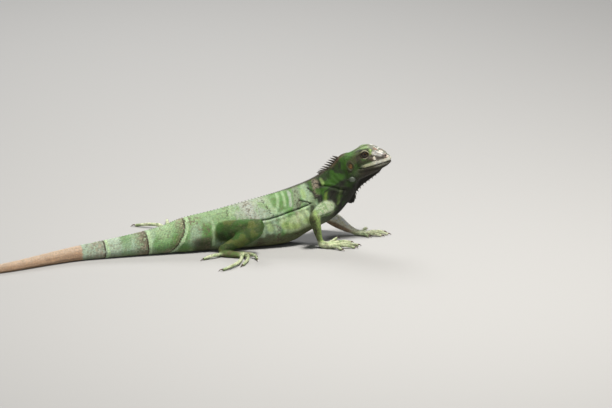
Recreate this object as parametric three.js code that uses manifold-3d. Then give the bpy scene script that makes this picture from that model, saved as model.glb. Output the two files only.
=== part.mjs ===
// A green iguana, half grown, resting on level ground with its chest and head raised on its forelegs.
// Life size, in millimetres. +X runs forward along the hips, +Y to the animal's left, +Z up.
// The origin is on the ground under the hips, on the flat of the belly.
//
// Each part of the flesh is a tube: an oval section carried along a short row of stations.
// Neighbours are parted by a thin gap, so every named part is a solid of its own.

import * as THREE from "three";
import { mergeVertices } from "three/addons/utils/BufferGeometryUtils.js";
import Module from "manifold-3d";

const wasm = await Module();
wasm.setup();

const GAP = 0.3; // between neighbouring parts
const BIG = 1200; // side of a block that stands for half of space

// ---------------------------------------------------------------------------------------- solids

function solid(geometry) {
  const bare = new THREE.BufferGeometry();
  bare.setAttribute("position", geometry.getAttribute("position").clone());
  bare.setIndex(geometry.index);
  const merged = mergeVertices(bare, 1e-4);
  return new wasm.Manifold(
    new wasm.Mesh({
      numProp: 3,
      vertProperties: merged.attributes.position.array,
      triVerts: new Uint32Array(merged.index.array),
    }),
  );
}

const joined = (parts) => parts.reduce((whole, part) => whole.add(part));
const without = (body, parts) => parts.reduce((rest, part) => rest.subtract(part), body);

// Everything on the far side of the plane through point, on the side that normal points to.
function halfSpace(point, normal) {
  const direction = new THREE.Vector3(...normal).normalize();
  const block = new THREE.BoxGeometry(BIG, BIG, BIG);
  block.translate(0, 0, BIG / 2);
  block.applyQuaternion(
    new THREE.Quaternion().setFromUnitVectors(new THREE.Vector3(0, 0, 1), direction),
  );
  block.translate(...point);
  return solid(block);
}

const aboveGround = halfSpace([0, 0, 0], [0, 0, 1]);

// ----------------------------------------------------------------------------------------- tubes

// The row of numbers a share t of the way along a list of such rows, on a smooth curve through them.
function along(rows, t) {
  const last = rows.length - 1;
  const i = Math.min(Math.floor(t * last), last - 1);
  const f = t * last - i;
  const [a, b, c, d] = [-1, 0, 1, 2].map((k) => rows[Math.max(0, Math.min(last, i + k))]);
  return b.map((_, k) => {
    const slopeIn = (c[k] - a[k]) / 2;
    const slopeOut = (d[k] - b[k]) / 2;
    const cubic = 2 * b[k] - 2 * c[k] + slopeIn + slopeOut;
    const square = 3 * (c[k] - b[k]) - 2 * slopeIn - slopeOut;
    return ((cubic * f + square) * f + slopeIn) * f + b[k];
  });
}

// Closes rings of equal length into one body. Each ring runs anticlockwise about the way of travel.
function skinned(rings, start, end) {
  const sides = rings[0].length;
  const positions = [...rings.flat(), start, end].flatMap((p) => [p.x, p.y, p.z]);
  const startIndex = rings.length * sides;
  const indices = [];
  for (let j = 0; j < sides; j++) {
    const k = (j + 1) % sides;
    indices.push(startIndex, k, j);
    for (let i = 0; i + 1 < rings.length; i++) {
      const here = i * sides;
      const next = here + sides;
      indices.push(here + j, here + k, next + k, here + j, next + k, next + j);
    }
    const final = (rings.length - 1) * sides;
    indices.push(startIndex + 1, final + j, final + k);
  }
  const geometry = new THREE.BufferGeometry();
  geometry.setAttribute("position", new THREE.Float32BufferAttribute(positions, 3));
  geometry.setIndex(indices);
  return solid(geometry);
}

// Stations are [x, y, z, half width, height above, depth below]. The section stands square to the
// path, with its width across hint. roof narrows the upper half and widens the lower one.
function tube(stations, { rings, sides, hint = [0, 0, 1], roof = 0, grow = 0, tip = 0.6 }) {
  const samples = [];
  for (let i = 0; i <= rings; i++) samples.push(along(stations, i / rings));
  const centres = samples.map((s) => new THREE.Vector3(s[0], s[1], s[2]));
  const reference = new THREE.Vector3(...hint);
  const tangents = centres.map((_, i) =>
    centres[Math.min(i + 1, rings)].clone().sub(centres[Math.max(i - 1, 0)]).normalize(),
  );
  const loops = samples.map(([, , , half, above, below], i) => {
    const across = reference.clone().cross(tangents[i]).normalize();
    const upward = tangents[i].clone().cross(across);
    return Array.from({ length: sides }, (_, j) => {
      const angle = Math.PI / 2 + (2 * Math.PI * j) / sides;
      const lift = Math.sin(angle);
      const reach = (half + grow) * Math.cos(angle) * (1 - roof * lift);
      const rise = ((lift > 0 ? above : below) + grow) * lift;
      return centres[i].clone().addScaledVector(across, reach).addScaledVector(upward, rise);
    });
  });
  const bulge = (i) => tip * (samples[i][3] + grow);
  const start = centres[0].clone().addScaledVector(tangents[0], -bulge(0));
  const end = centres[rings].clone().addScaledVector(tangents[rings], bulge(rings));
  return skinned(loops, start, end);
}

// -------------------------------------------------------------------------- trunk, neck and tail

const TAIL_TURN_X = -157; // where the regrown part of the tail begins

const BODY = [
  [-392, -20, 1.2, 0.8, 0.8, 0.9],
  [-372, -26, 1.9, 1.5, 1.6, 1.8],
  [-338, -32, 3.0, 2.6, 2.8, 3.0],
  [-300, -33, 3.9, 3.7, 3.9, 4.0],
  [-262, -28, 4.8, 4.6, 4.8, 5.0],
  [-230, -20.5, 5.7, 5.4, 5.7, 5.9],
  [-194, -10, 7.0, 6.5, 6.9, 7.2],
  [TAIL_TURN_X, -2, 8.6, 7.7, 8.4, 8.9],
  [-112, 0, 11.1, 9.8, 11.1, 11.4],
  [-80, 0, 13.6, 11.6, 13.8, 13.9],
  [-58, 0, 15.8, 13.0, 16.2, 16.2],
  [-36, 0, 18.8, 14.7, 20.2, 19.7],
  [0, 0, 21.5, 17.0, 23.5, 22.6],
  [40, 0, 25.5, 21.5, 27.5, 26.6],
  [75, 0, 31.0, 23.0, 29.0, 30.4],
  [100, -0.5, 39.5, 21.0, 27.4, 27.0],
  [120, -2, 50.0, 18.5, 24.4, 28.0],
  [136, -4.5, 63.0, 15.2, 20.8, 24.5],
  [147, -7, 76.0, 13.6, 18.0, 20.0],
  [157, -9, 86.0, 12.4, 20.0, 15.0],
];
const BODY_SHAPE = { rings: 38, sides: 15, roof: 0.12 };

const bodyWhole = tube(BODY, BODY_SHAPE);
const bodyGrown = tube(BODY, { ...BODY_SHAPE, grow: GAP });

// Cuts square to the spine, from the tail forward: [point, direction of travel].
const CUTS = {
  tip: [[-285, -32, 4], [1, 0, 0]],
  regrown: [[TAIL_TURN_X, -2, 9], [1, 0.15, 0]],
  banded: [[-70, 0, 14], [1, 0, 0]],
  hips: [[-14, 0, 20], [1, 0, 0]],
  shoulders: [[117, -1.5, 48], [0.8, -0.08, 0.6]],
};

function between(whole, from, to) {
  let piece = whole;
  if (from) {
    const [point, way] = CUTS[from];
    const shifted = point.map((v, k) => v + way[k] * (GAP / 2));
    piece = piece.intersect(halfSpace(shifted, way));
  }
  if (to) {
    const [point, way] = CUTS[to];
    const shifted = point.map((v, k) => v - way[k] * (GAP / 2));
    piece = piece.intersect(halfSpace(shifted, way.map((v) => -v)));
  }
  return piece;
}

// ------------------------------------------------------------------------------------------ head

const SNOUT = [198.5, -19.5, 94.8]; // front end of the mouth line
const HEAD_TURN = THREE.MathUtils.degToRad(-14); // to the animal's right
const HEAD_PITCH = THREE.MathUtils.degToRad(10); // nose up
const HEAD_LENGTH = 56;

// Head places are (t back from the snout, y to the left, h above the mouth line).
const headFrame = new THREE.Matrix4()
  .makeTranslation(...SNOUT)
  .multiply(new THREE.Matrix4().makeRotationZ(HEAD_TURN))
  .multiply(new THREE.Matrix4().makeRotationY(-HEAD_PITCH));
const inHead = (t, y, h) => new THREE.Vector3(-t, y, h).applyMatrix4(headFrame);
const inHeadWay = (t, y, h) => inHead(t, y, h).sub(inHead(0, 0, 0));

// [t, crown height, crown half width, brow half width, brow height, cheek half width,
//  cheek height, jaw half width, jaw height, underside height]
const HEAD = [
  [0.9, 4.8, 1.8, 3.2, 3.4, 4.0, -0.4, 2.8, -3.2, -4.0],
  [5.0, 9.6, 3.2, 5.8, 6.8, 7.0, 0.2, 5.2, -5.2, -6.6],
  [10, 14.0, 4.4, 7.2, 10.4, 8.8, 0.6, 6.8, -6.4, -8.4],
  [17, 19.0, 5.4, 8.6, 15.0, 10.6, 2.0, 8.6, -8.0, -10.6],
  [25, 20.8, 6.4, 10.6, 17.0, 12.4, 3.6, 10.2, -9.8, -13.0],
  [33, 18.9, 6.8, 11.4, 15.0, 14.0, 3.2, 11.4, -11.6, -15.0],
  [41, 15.8, 6.6, 11.2, 11.8, 15.0, 1.6, 12.4, -13.0, -16.8],
  [48, 14.2, 6.2, 10.6, 9.4, 14.8, -0.4, 12.2, -13.6, -17.2],
  [54, 11.8, 5.2, 9.2, 6.8, 13.0, -2.0, 10.6, -12.6, -16.0],
];
const HEAD_RINGS = 11;
const HEAD_SIDES = 15;

function headTube(grow) {
  const loops = [];
  for (let i = 0; i <= HEAD_RINGS; i++) {
    const [t, top, crown, brow, browH, cheek, cheekH, jaw, jawH, under] = along(HEAD, i / HEAD_RINGS);
    const crownH = top - 0.12 * crown;
    const left = [[0, top], [crown, crownH], [brow, browH], [cheek, cheekH], [jaw, jawH], [0, under]];
    const right = left.slice(1, -1).reverse().map(([y, h]) => [-y, h]);
    const outline = [...left, ...right].map(([y, h]) => new THREE.Vector3(-t, y, h));
    const curve = new THREE.CatmullRomCurve3(outline, true, "catmullrom", 0.5);
    const ring = Array.from({ length: HEAD_SIDES }, (_, j) => curve.getPoint(j / HEAD_SIDES));
    const middle = new THREE.Vector3(-t, 0, (top + under) / 2);
    loops.push(
      ring
        .map((p) => p.addScaledVector(p.clone().sub(middle).normalize(), grow))
        .map((p) => p.applyMatrix4(headFrame)),
    );
  }
  return skinned(loops, inHead(-0.5 - grow, 0, 0.6), inHead(HEAD_LENGTH + grow, 0, -1.5));
}

// A ball drawn out along the head's own axes: centre (t, y, h) and half lengths.
function headBall([t, y, h], radii, rounds = 14) {
  const ball = new THREE.SphereGeometry(1, rounds, Math.ceil(rounds * 0.6));
  ball.scale(...radii);
  ball.translate(-t, y, h);
  ball.applyMatrix4(headFrame);
  return solid(ball);
}

// A disc on the side of the head, its axis tilted up a little.
function headDisc([t, y, h], radius, thickness) {
  const disc = new THREE.CylinderGeometry(radius, radius, thickness, 10);
  disc.rotateX(0.12 * Math.sign(y));
  disc.translate(-t, y, h);
  disc.applyMatrix4(headFrame);
  return solid(disc);
}

const SIDES = { left: 1, right: -1 };
const EYE = { t: 28.4, y: 7.6, h: 12.8, radius: 5.3 };
const LIDS = { y: 6.4, radii: [8.4, 5.7, 6.8] };
const EARDRUM = { t: 46, y: 14.0, h: 2.6, radius: 3.2, thickness: 1.0 };
const EAR_DEPTH = 2.4;
const JAW_PLATE = { t: 46.5, y: 12.2, h: -11.8, radii: [3.4, 1.8, 3.0] };
const NOSTRIL = { t: 4.0, y: 5.0, h: 5.8, radii: [1.2, 1.4, 1.0] };

const eyeBall = (side, grow) =>
  headBall([EYE.t, side * EYE.y, EYE.h], Array(3).fill(EYE.radius + grow), 10);

const lids = Object.values(SIDES).map((side) => headBall([EYE.t, side * LIDS.y, EYE.h], LIDS.radii, 8));
const jawPlate = (side, grow) =>
  headBall([JAW_PLATE.t, side * JAW_PLATE.y, JAW_PLATE.h], JAW_PLATE.radii.map((r) => r + grow), 6);
const jawPlates = (grow) => Object.values(SIDES).map((side) => jawPlate(side, grow));
const nostrils = Object.values(SIDES).map((side) =>
  headBall([NOSTRIL.t, side * NOSTRIL.y, NOSTRIL.h], NOSTRIL.radii, 6),
);
const earPits = Object.values(SIDES).map((side) =>
  headDisc([EARDRUM.t, side * (EARDRUM.y + 1), EARDRUM.h], EARDRUM.radius + GAP, EAR_DEPTH + 2),
);
const eyeSockets = Object.values(SIDES).map((side) => eyeBall(side, GAP));
const headWhole = joined([headTube(0), ...lids, ...jawPlates(0)]);
const headGrown = joined([headTube(GAP), ...jawPlates(1.5 * GAP)]);

// All that lies under the mouth line and in front of the jaw's hinge, raised by lift.
function jawRegion(lift) {
  const outline = new THREE.Shape();
  outline.moveTo(-6, lift - 0.9);
  outline.bezierCurveTo(10, lift - 0.2, 22, lift - 2.6, 38.5, lift - 1.6);
  outline.lineTo(40 + lift, lift - 1.6);
  outline.bezierCurveTo(43 + lift, -4, 44 + lift, -8, 44 + lift, -30);
  outline.lineTo(-6, -30);
  return acrossHead(outline, { depth: 60, bevelEnabled: false, curveSegments: 4 });
}

// A plate across the head, from an outline drawn in t and h.
function acrossHead(outline, options) {
  const plate = new THREE.ExtrudeGeometry(outline, options);
  plate.translate(0, 0, -options.depth / 2);
  plate.rotateX(Math.PI / 2);
  plate.rotateZ(Math.PI);
  plate.applyMatrix4(headFrame);
  return solid(plate);
}

// --------------------------------------------------------------------------------------- dewlap

const DEWLAP_THICKNESS = 4.4;
const DEWLAP_BEVEL = 1.0;

// The fold of throat skin, drawn in t and h, from the chin down to its free corner and back up.
function dewlapBlade() {
  const outline = new THREE.Shape();
  outline.moveTo(5, -5.5);
  outline.bezierCurveTo(10, -11.5, 18, -15, 27, -19.5);
  outline.bezierCurveTo(35, -24, 42, -27, 45, -32);
  outline.bezierCurveTo(47, -36, 47, -40, 48.5, -42.5);
  outline.bezierCurveTo(52, -43.5, 56, -42.5, 59.5, -40);
  outline.bezierCurveTo(61, -34, 62, -26, 62, -14);
  outline.lineTo(20, -6);
  return acrossHead(outline, {
    depth: DEWLAP_THICKNESS - 2 * DEWLAP_BEVEL,
    steps: 1,
    curveSegments: 3,
    bevelThickness: DEWLAP_BEVEL,
    bevelSize: DEWLAP_BEVEL * 0.8,
    bevelOffset: -DEWLAP_BEVEL * 0.8,
    bevelSegments: 1,
  });
}

// ---------------------------------------------------------------------------------- crest spines

// A blade-like spine: base on the skin, length along lean, flattened across the animal.
function spine(base, lean, length, width) {
  const up = new THREE.Vector3(...lean).normalize();
  const root = base.clone().addScaledVector(up, -1.4);
  const rows = [0, 0.55, 1].map((share) => {
    const at = root.clone().addScaledVector(up, share * (length + 1.4));
    at.x -= 0.1 * length * share * share;
    const size = width * (1 - 0.78 * share ** 1.4);
    return [at.x, at.y, at.z, Math.max(0.26, 0.45 * size), size / 2, size / 2];
  });
  return tube(rows, { rings: 1, sides: 4, hint: [-up.z, 0, up.x], tip: 0.3 });
}

// A place on the ridge of the back, at a share t of the body's stations, with its outward way.
function ridge(t) {
  const here = along(BODY, t);
  const ahead = along(BODY, Math.min(1, t + 0.004));
  const way = new THREE.Vector3(ahead[0] - here[0], ahead[1] - here[1], ahead[2] - here[2]).normalize();
  const across = new THREE.Vector3(0, 0, 1).cross(way).normalize();
  const outward = way.clone().cross(across);
  const point = new THREE.Vector3(here[0], here[1], here[2]).addScaledVector(outward, here[4]);
  return { point, outward, way };
}

const STATIONS = BODY.length - 1;
const TAIL_CREST_START = 7.4 / STATIONS; // share of the stations, just ahead of the regrown tail
const NAPE_START = 17.05 / STATIONS; // where the long spines of the nape begin
const NAPE_END = 18.55 / STATIONS; // the last long spine, behind the head
const BACK_SPINES = 26;
const NAPE_SPINES = 9;

function crest() {
  const spines = [];
  for (let i = 0; i < BACK_SPINES; i++) {
    const share = i / BACK_SPINES;
    const t = TAIL_CREST_START + (NAPE_START - TAIL_CREST_START) * share;
    const { point, outward, way } = ridge(t);
    const lean = outward.clone().addScaledVector(way, -0.7);
    spines.push(spine(point, lean.toArray(), 1.2 + 1.3 * share ** 2, 2.6));
  }
  for (let i = 0; i < NAPE_SPINES; i++) {
    const share = i / (NAPE_SPINES - 1);
    const { point, outward, way } = ridge(NAPE_START + (NAPE_END - NAPE_START) * share);
    const lean = outward.clone().addScaledVector(way, -0.25);
    const length = 2.8 + 3.8 * Math.sin(Math.PI * (0.06 + 0.74 * share));
    spines.push(spine(point, lean.toArray(), length, 2.9));
  }
  return spines;
}

// The small spines on the front edge of the dewlap.
function chinSpines() {
  const edge = [[16, -14.6], [20.5, -16.6], [25, -18.9], [29.5, -21.2], [34, -23.7], [38.5, -26], [42.6, -28.8]];
  return edge.map(([t, h], i) => {
    const down = inHeadWay(-0.5, 0, -1);
    return spine(inHead(t, 0, h), down.toArray(), 1.6 + 0.25 * i, 2.2);
  });
}

// ------------------------------------------------------------------------------------------ legs

// Each limb part lists its stations as [x, y, z, half width, height above, depth below].
const LEGS = {
  fore_right: {
    upper: [[129, -9, 42.5, 7.5, 8, 8], [124, -19, 43, 7.8, 8.0, 8.2], [116, -27.5, 43, 7.0, 7.4, 7.4],
      [108, -33.5, 41.8, 5.6, 6.0, 6.0], [104, -35.5, 40.6, 3.8, 4, 4]],
    lower: [[103.5, -36, 42, 4.4, 5.2, 5.2], [105, -35.5, 36, 5.2, 6.6, 6.4], [107.5, -34, 27, 4.8, 5.6, 5.4],
      [110.5, -31.5, 16, 3.8, 4.2, 4.0], [113.5, -30, 7.5, 3.8, 3.6, 3.6]],
    upperHint: [0, 0, 1],
    lowerHint: [1, 0, 0],
    palm: [[112, -30, 6.0, 3.8, 4.0, 4.4], [117, -31.5, 4.6, 5.2, 3.4, 5.0], [123, -33.5, 3.8, 6.2, 2.8, 4.2],
      [128, -35, 3.2, 5.0, 2.2, 3.4]],
    digits: [
      { path: [[121, -29.5, 4], [127, -26.5, 5.0], [131, -24.5, 6.4], [134.5, -23.5, 8.0]], claw: [0.8, 0.25, 0.4] },
      { path: [[125, -31, 3.6], [134, -28.5, 4.8], [143, -26.5, 4.2], [150, -25.5, 2.6]], claw: [1, 0.1, -0.2] },
      { path: [[128, -34, 3.4], [138, -34, 4.2], [147, -34.5, 3.4], [155.5, -35.5, 1.5]], claw: [1, -0.05, 0] },
      { path: [[127, -36.5, 3.4], [135, -39, 3.8], [143, -41.5, 3.2], [149.5, -43.5, 1.5]], claw: [1, -0.35, 0] },
      { path: [[123, -37.5, 3.4], [127, -41.5, 4.0], [130.5, -45, 2.8], [133, -48, 1.5]], claw: [0.6, -0.8, 0] },
    ],
  },
  fore_left: {
    upper: [[128, 8, 45, 7.5, 8, 8], [130, 17, 37, 7.6, 7.6, 7.6], [132, 24, 29, 7.0, 7.0, 7.0],
      [134, 28, 22.5, 6.0, 6.2, 6.2], [135, 28.5, 19.5, 4.4, 4.6, 4.6]],
    lower: [[131, 30, 23.5, 5.2, 6.0, 5.0], [138, 26, 20, 6.4, 7.4, 7.2], [147.5, 20, 15.2, 6.4, 7.0, 8.2],
      [157, 13.5, 9.2, 5.0, 4.4, 6.2], [165.5, 8.5, 5.0, 3.9, 2.8, 4.4]],
    upperHint: [1, 0, 0],
    lowerHint: [0, 0, 1],
    palm: [[163.5, 9, 4.8, 3.8, 2.9, 4.4], [169, 7.5, 3.7, 5.2, 2.5, 4.2], [175, 6, 3.0, 6.0, 2.2, 3.4],
      [180, 4.5, 2.7, 5.0, 1.9, 3.0]],
    digits: [
      { path: [[169, 3.5, 2.8], [172.5, 0.5, 3.2], [175.5, -2.5, 2.4], [177, -5, 1.5]], claw: [0.6, -0.8, 0] },
      { path: [[176, 2.5, 2.7], [182, -0.5, 3.2], [187.5, -3.5, 2.6], [191.5, -6, 1.5]], claw: [0.9, -0.5, 0] },
      { path: [[179, 4, 2.7], [187, 2.5, 3.4], [194, 0.5, 3.0], [200.5, -1.5, 1.5]], claw: [1, -0.2, 0] },
      { path: [[179, 6.5, 2.7], [186, 7, 3.0], [193, 7.5, 2.6], [198.5, 7.5, 1.5]], claw: [1, 0.1, 0] },
      { path: [[174, 9.5, 2.8], [177.5, 13.5, 4.4], [180, 17.5, 4.4], [182, 20.5, 3.2]], claw: [0.5, 0.7, -0.2] },
    ],
  },
  hind_right: {
    upper: [[-2, -6, 22, 10, 11, 11], [8, -17, 25.5, 9.6, 11, 12], [20, -27, 29.5, 8.8, 10, 11.5],
      [33, -35, 32.3, 7.8, 9.2, 9.6], [43, -38.5, 33.2, 6.2, 8.2, 7.4]],
    lower: [[40.5, -39.5, 31.5, 5.8, 6.8, 7.0], [33.5, -38.8, 27.5, 7.6, 8.2, 9.0], [21, -36.5, 20.5, 7.2, 7.8, 9.0],
      [7.5, -34, 13, 5.4, 5.6, 6.4], [-4, -31.5, 7.0, 4.6, 4.4, 4.8]],
    upperHint: [0, 0, 1],
    lowerHint: [0, 0, 1],
    palm: [[-4.5, -30.5, 5.2, 3.6, 3.8, 4.6], [1, -34, 4.6, 5.4, 3.8, 5.0], [9.5, -38.5, 3.9, 5.8, 3.4, 4.4],
      [18, -44, 3.2, 4.8, 2.6, 3.4]],
    digits: [
      { path: [[14, -38, 3.2], [20, -38.5, 4.0], [26, -40, 3.0], [31, -42.5, 1.5]], claw: [0.9, -0.45, 0] },
      { path: [[17.5, -41.5, 3.2], [25.5, -45, 4.4], [31, -51, 3.6], [31.5, -58.5, 1.5]], claw: [-0.15, -1, 0] },
      { path: [[19, -44, 3.2], [22, -54, 4.8], [18.5, -65, 3.8], [10, -76.5, 1.5]], claw: [-0.7, -0.75, 0] },
      { path: [[17, -45.5, 3.2], [13.5, -59, 5.0], [6, -73, 4.0], [-6, -83.5, 3.0], [-16, -88.5, 1.5]],
        claw: [-1, -0.1, 0] },
      { path: [[0, -34, 3.6], [-9, -37.5, 4.0], [-18, -39.5, 3.2], [-25.5, -41.5, 1.5]], claw: [-0.9, -0.55, 0] },
    ],
  },
  hind_left: {
    upper: [[-2, 6, 20, 10, 10, 11], [4, 18, 19, 9.6, 9.8, 10.5], [9, 29, 18, 8.4, 8.8, 9.4],
      [13.5, 40, 17, 7.2, 7.4, 8], [16, 47.5, 16, 5.6, 5.8, 6]],
    lower: [[16.5, 47, 16, 5.6, 6.0, 6.4], [9.5, 51.5, 14.5, 7.0, 7.0, 8.0], [0, 57.5, 12, 6.4, 6.4, 7.0],
      [-11, 64.5, 9, 5.0, 4.8, 5.4], [-20.5, 71, 6.6, 4.6, 4.0, 4.6]],
    upperHint: [0, 0, 1],
    lowerHint: [0, 0, 1],
    palm: [[-18.5, 69.5, 5.0, 3.6, 3.6, 4.4], [-23, 73.5, 4.6, 5.4, 3.6, 5.0], [-30, 79, 3.9, 5.8, 3.2, 4.4],
      [-37, 84.5, 3.2, 4.8, 2.4, 3.4]],
    digits: [
      { path: [[-27.5, 83, 3.2], [-22, 87, 4.0], [-17.5, 89.5, 3.0], [-14, 90.5, 1.5]], claw: [0.9, 0.2, 0] },
      { path: [[-31, 86, 3.2], [-25.5, 93, 4.2], [-21, 99, 3.2], [-18, 103, 1.5]], claw: [0.45, 0.9, 0] },
      { path: [[-34, 86, 3.2], [-30.5, 97, 5.0], [-28, 107, 4.4], [-26, 115, 3.0]], claw: [0.3, 0.9, -0.2] },
      { path: [[-36, 85, 3.2], [-42, 94, 4.8], [-51, 101.5, 4.2], [-64, 110.5, 1.6]], claw: [-1, 0.15, 0] },
      { path: [[-22, 75.5, 3.6], [-31, 71, 4.0], [-40.5, 68.5, 3.2], [-48.5, 67, 1.5]], claw: [-1, -0.15, 0] },
    ],
  },
};

// Half width of a digit at its root and its tip, and the claw's length and base half width.
const DIGIT_SIZE = {
  fore: { root: 2.2, tip: 1.6, claw: 4.2, clawRoot: 1.1 },
  hind: { root: 2.4, tip: 1.65, claw: 5.6, clawRoot: 1.15 },
};

const limb = (stations, hint, grow) => tube(stations, { rings: 6, sides: 9, hint, grow });

function digit(path, size) {
  const rows = path.map(([x, y, z], i) => {
    const share = i / (path.length - 1);
    const half = size.root + (size.tip - size.root) * share;
    return [x, y, z, half * 0.92, half, half * 1.05];
  });
  return tube(rows, { rings: 3, sides: 5, tip: 0.5 });
}

// A curved cone from a digit's end: forward along way, arched, then down to the ground.
function clawOn(path, [wx, wy, drop], size) {
  const [x, y, z] = path[path.length - 1];
  const flat = Math.hypot(wx, wy);
  const lengths = [-0.1, 0.3, 0.65, 1];
  const rises = [0.1, 0.6, 0.2, Math.max(0.45 - z, -1.8)];
  const rows = lengths.map((share, i) => {
    const reach = size.claw * share;
    const half = size.clawRoot * (1 - 0.76 * Math.max(0, share));
    const height = z + rises[i] + drop * reach * 0.3;
    return [x + (wx / flat) * reach, y + (wy / flat) * reach, Math.max(height, 0.45), half * 0.8, half, half];
  });
  return tube(rows, { rings: 2, sides: 4, tip: 0.3 });
}

// ------------------------------------------------------------------------------------- materials

const finish = (color, roughness, metalness = 0) =>
  new THREE.MeshStandardMaterial({ color, roughness, metalness });
const SKIN_GREEN = finish(0x7fae5c, 0.62);
const HEAD_GREEN = finish(0x6d8f4e, 0.6);
const THROAT_DARK = finish(0x4a463c, 0.65);
const TAIL_BROWN = finish(0xa08467, 0.66);
const LEG_GREEN = finish(0x8fb064, 0.62);
const EYE_BROWN = finish(0x3a2a18, 0.15);
const EAR_TAN = finish(0x8a5f3a, 0.5);
const CLAW_HORN = finish(0x4b3a2c, 0.4);

// -------------------------------------------------------------------------------------- assembly

const iguana = new THREE.Group();

function add(name, body, material) {
  const grounded = body.intersect(aboveGround);
  const largest = grounded.decompose().reduce((a, b) => (b.volume() > a.volume() ? b : a));
  const { vertProperties, triVerts } = largest.getMesh();
  const geometry = new THREE.BufferGeometry();
  geometry.setAttribute("position", new THREE.BufferAttribute(Float32Array.from(vertProperties), 3));
  geometry.setIndex(new THREE.BufferAttribute(Uint32Array.from(triVerts), 1));
  geometry.computeVertexNormals();
  const mesh = new THREE.Mesh(geometry, material);
  mesh.name = name;
  iguana.add(mesh);
}

const spines = joined(crest());
const torso = bodyWhole.add(spines);
const torsoNoHead = without(torso, [headGrown]);

add("tail_tip", between(torso, null, "tip"), TAIL_BROWN);
add("tail_regrown", between(torso, "tip", "regrown"), TAIL_BROWN);
add("tail_banded", between(torso, "regrown", "banded"), SKIN_GREEN);
add("tail_base", between(torso, "banded", "hips"), SKIN_GREEN);
add("trunk", between(torso, "hips", "shoulders"), SKIN_GREEN);
add("neck", between(torsoNoHead, "shoulders", null), SKIN_GREEN);

const pitted = without(headWhole, [...eyeSockets, ...earPits, ...nostrils]);
add("head", pitted.subtract(jawRegion(GAP)), HEAD_GREEN);
add("lower_jaw", pitted.intersect(jawRegion(0)), HEAD_GREEN);
const dewlap = dewlapBlade().add(joined(chinSpines()));
add("dewlap", without(dewlap, [bodyGrown, headGrown]), THROAT_DARK);

for (const [name, side] of Object.entries(SIDES)) {
  add(`eye_${name}`, eyeBall(side, 0), EYE_BROWN);
  const drum = headDisc([EARDRUM.t, side * (EARDRUM.y - 0.6), EARDRUM.h], EARDRUM.radius, EARDRUM.thickness);
  add(`eardrum_${name}`, drum, EAR_TAN);
}

const SEGMENT_NAMES = {
  fore: ["upper_arm", "forearm", "forefoot"],
  hind: ["thigh", "shank", "hindfoot"],
};

for (const [key, leg] of Object.entries(LEGS)) {
  const [pair, side] = key.split("_");
  const [upperName, lowerName, footName] = SEGMENT_NAMES[pair];
  const size = DIGIT_SIZE[pair];
  const upper = limb(leg.upper, leg.upperHint, 0);
  const upperGrown = limb(leg.upper, leg.upperHint, GAP);
  const lower = limb(leg.lower, leg.lowerHint, 0);
  const lowerGrown = limb(leg.lower, leg.lowerHint, GAP);
  const palm = tube(leg.palm, { rings: 3, sides: 8 });
  const foot = joined([palm, ...leg.digits.map(({ path }) => digit(path, size))]);
  add(`${upperName}_${side}`, without(upper, [bodyGrown]), LEG_GREEN);
  add(`${lowerName}_${side}`, without(lower, [bodyGrown, upperGrown]), LEG_GREEN);
  const footAlone = without(foot, [bodyGrown, lowerGrown, upperGrown]);
  add(`${footName}_${side}`, footAlone, LEG_GREEN);
  leg.digits.forEach(({ path, claw }, i) => {
    const grown = digit(path, { ...size, root: size.root + GAP, tip: size.tip + GAP });
    add(`claw_${pair}_${side}_${i + 1}`, without(clawOn(path, claw, size), [grown, foot]), CLAW_HORN);
  });
}

export default iguana;
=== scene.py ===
import itertools
import math

import bpy
import numpy as np
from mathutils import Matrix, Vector


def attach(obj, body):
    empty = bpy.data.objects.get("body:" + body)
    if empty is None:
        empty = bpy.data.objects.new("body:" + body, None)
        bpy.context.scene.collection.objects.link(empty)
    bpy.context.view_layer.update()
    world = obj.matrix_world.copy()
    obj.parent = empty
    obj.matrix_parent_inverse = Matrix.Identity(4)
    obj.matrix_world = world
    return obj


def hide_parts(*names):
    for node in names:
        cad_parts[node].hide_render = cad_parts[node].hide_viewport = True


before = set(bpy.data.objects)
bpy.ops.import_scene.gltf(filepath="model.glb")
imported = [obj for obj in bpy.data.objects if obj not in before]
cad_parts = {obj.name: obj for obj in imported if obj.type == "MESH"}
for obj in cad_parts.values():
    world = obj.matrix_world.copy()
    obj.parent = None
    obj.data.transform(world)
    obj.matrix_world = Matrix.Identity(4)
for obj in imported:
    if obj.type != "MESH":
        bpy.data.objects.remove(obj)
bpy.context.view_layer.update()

MM = 0.001
UP = (0, 0, 1)

# Every place below is in millimetres: +X forward, +Y to the animal's left, +Z up, and the origin
# on the ground under the hips. A length becomes metres only when it goes into a mesh.

COAT = 0.35  # depth of the scales over the skin
VOXEL = 0.5  # grid on which the parts of the flesh are joined
SKIN_TRIANGLES = 190000
PIECE_TRIANGLES = 180000  # of one piece of the coat
GROUND = 0.02  # lowest place of any piece

# ---------- numbers


def unit(ways):
    """Each way divided by its own length."""
    return ways / np.maximum(np.linalg.norm(ways, axis=-1, keepdims=True), 1e-9)


def smooth(low, high, value):
    """0 below low, 1 above high, and 3u^2 - 2u^3 in between, u the share of the way."""
    u = np.clip((value - low) / (high - low), 0, 1)
    return u * u * (3 - 2 * u)


def window(value, start, end, soft):
    """1 between start and end, falling smoothly to 0 over soft on both sides."""
    return smooth(start - soft, start + soft, value) * (1 - smooth(end - soft, end + soft, value))


def whole_turn(count):
    """Evenly spaced angles once round."""
    return np.arange(count) * (2 * math.pi / count)


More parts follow.
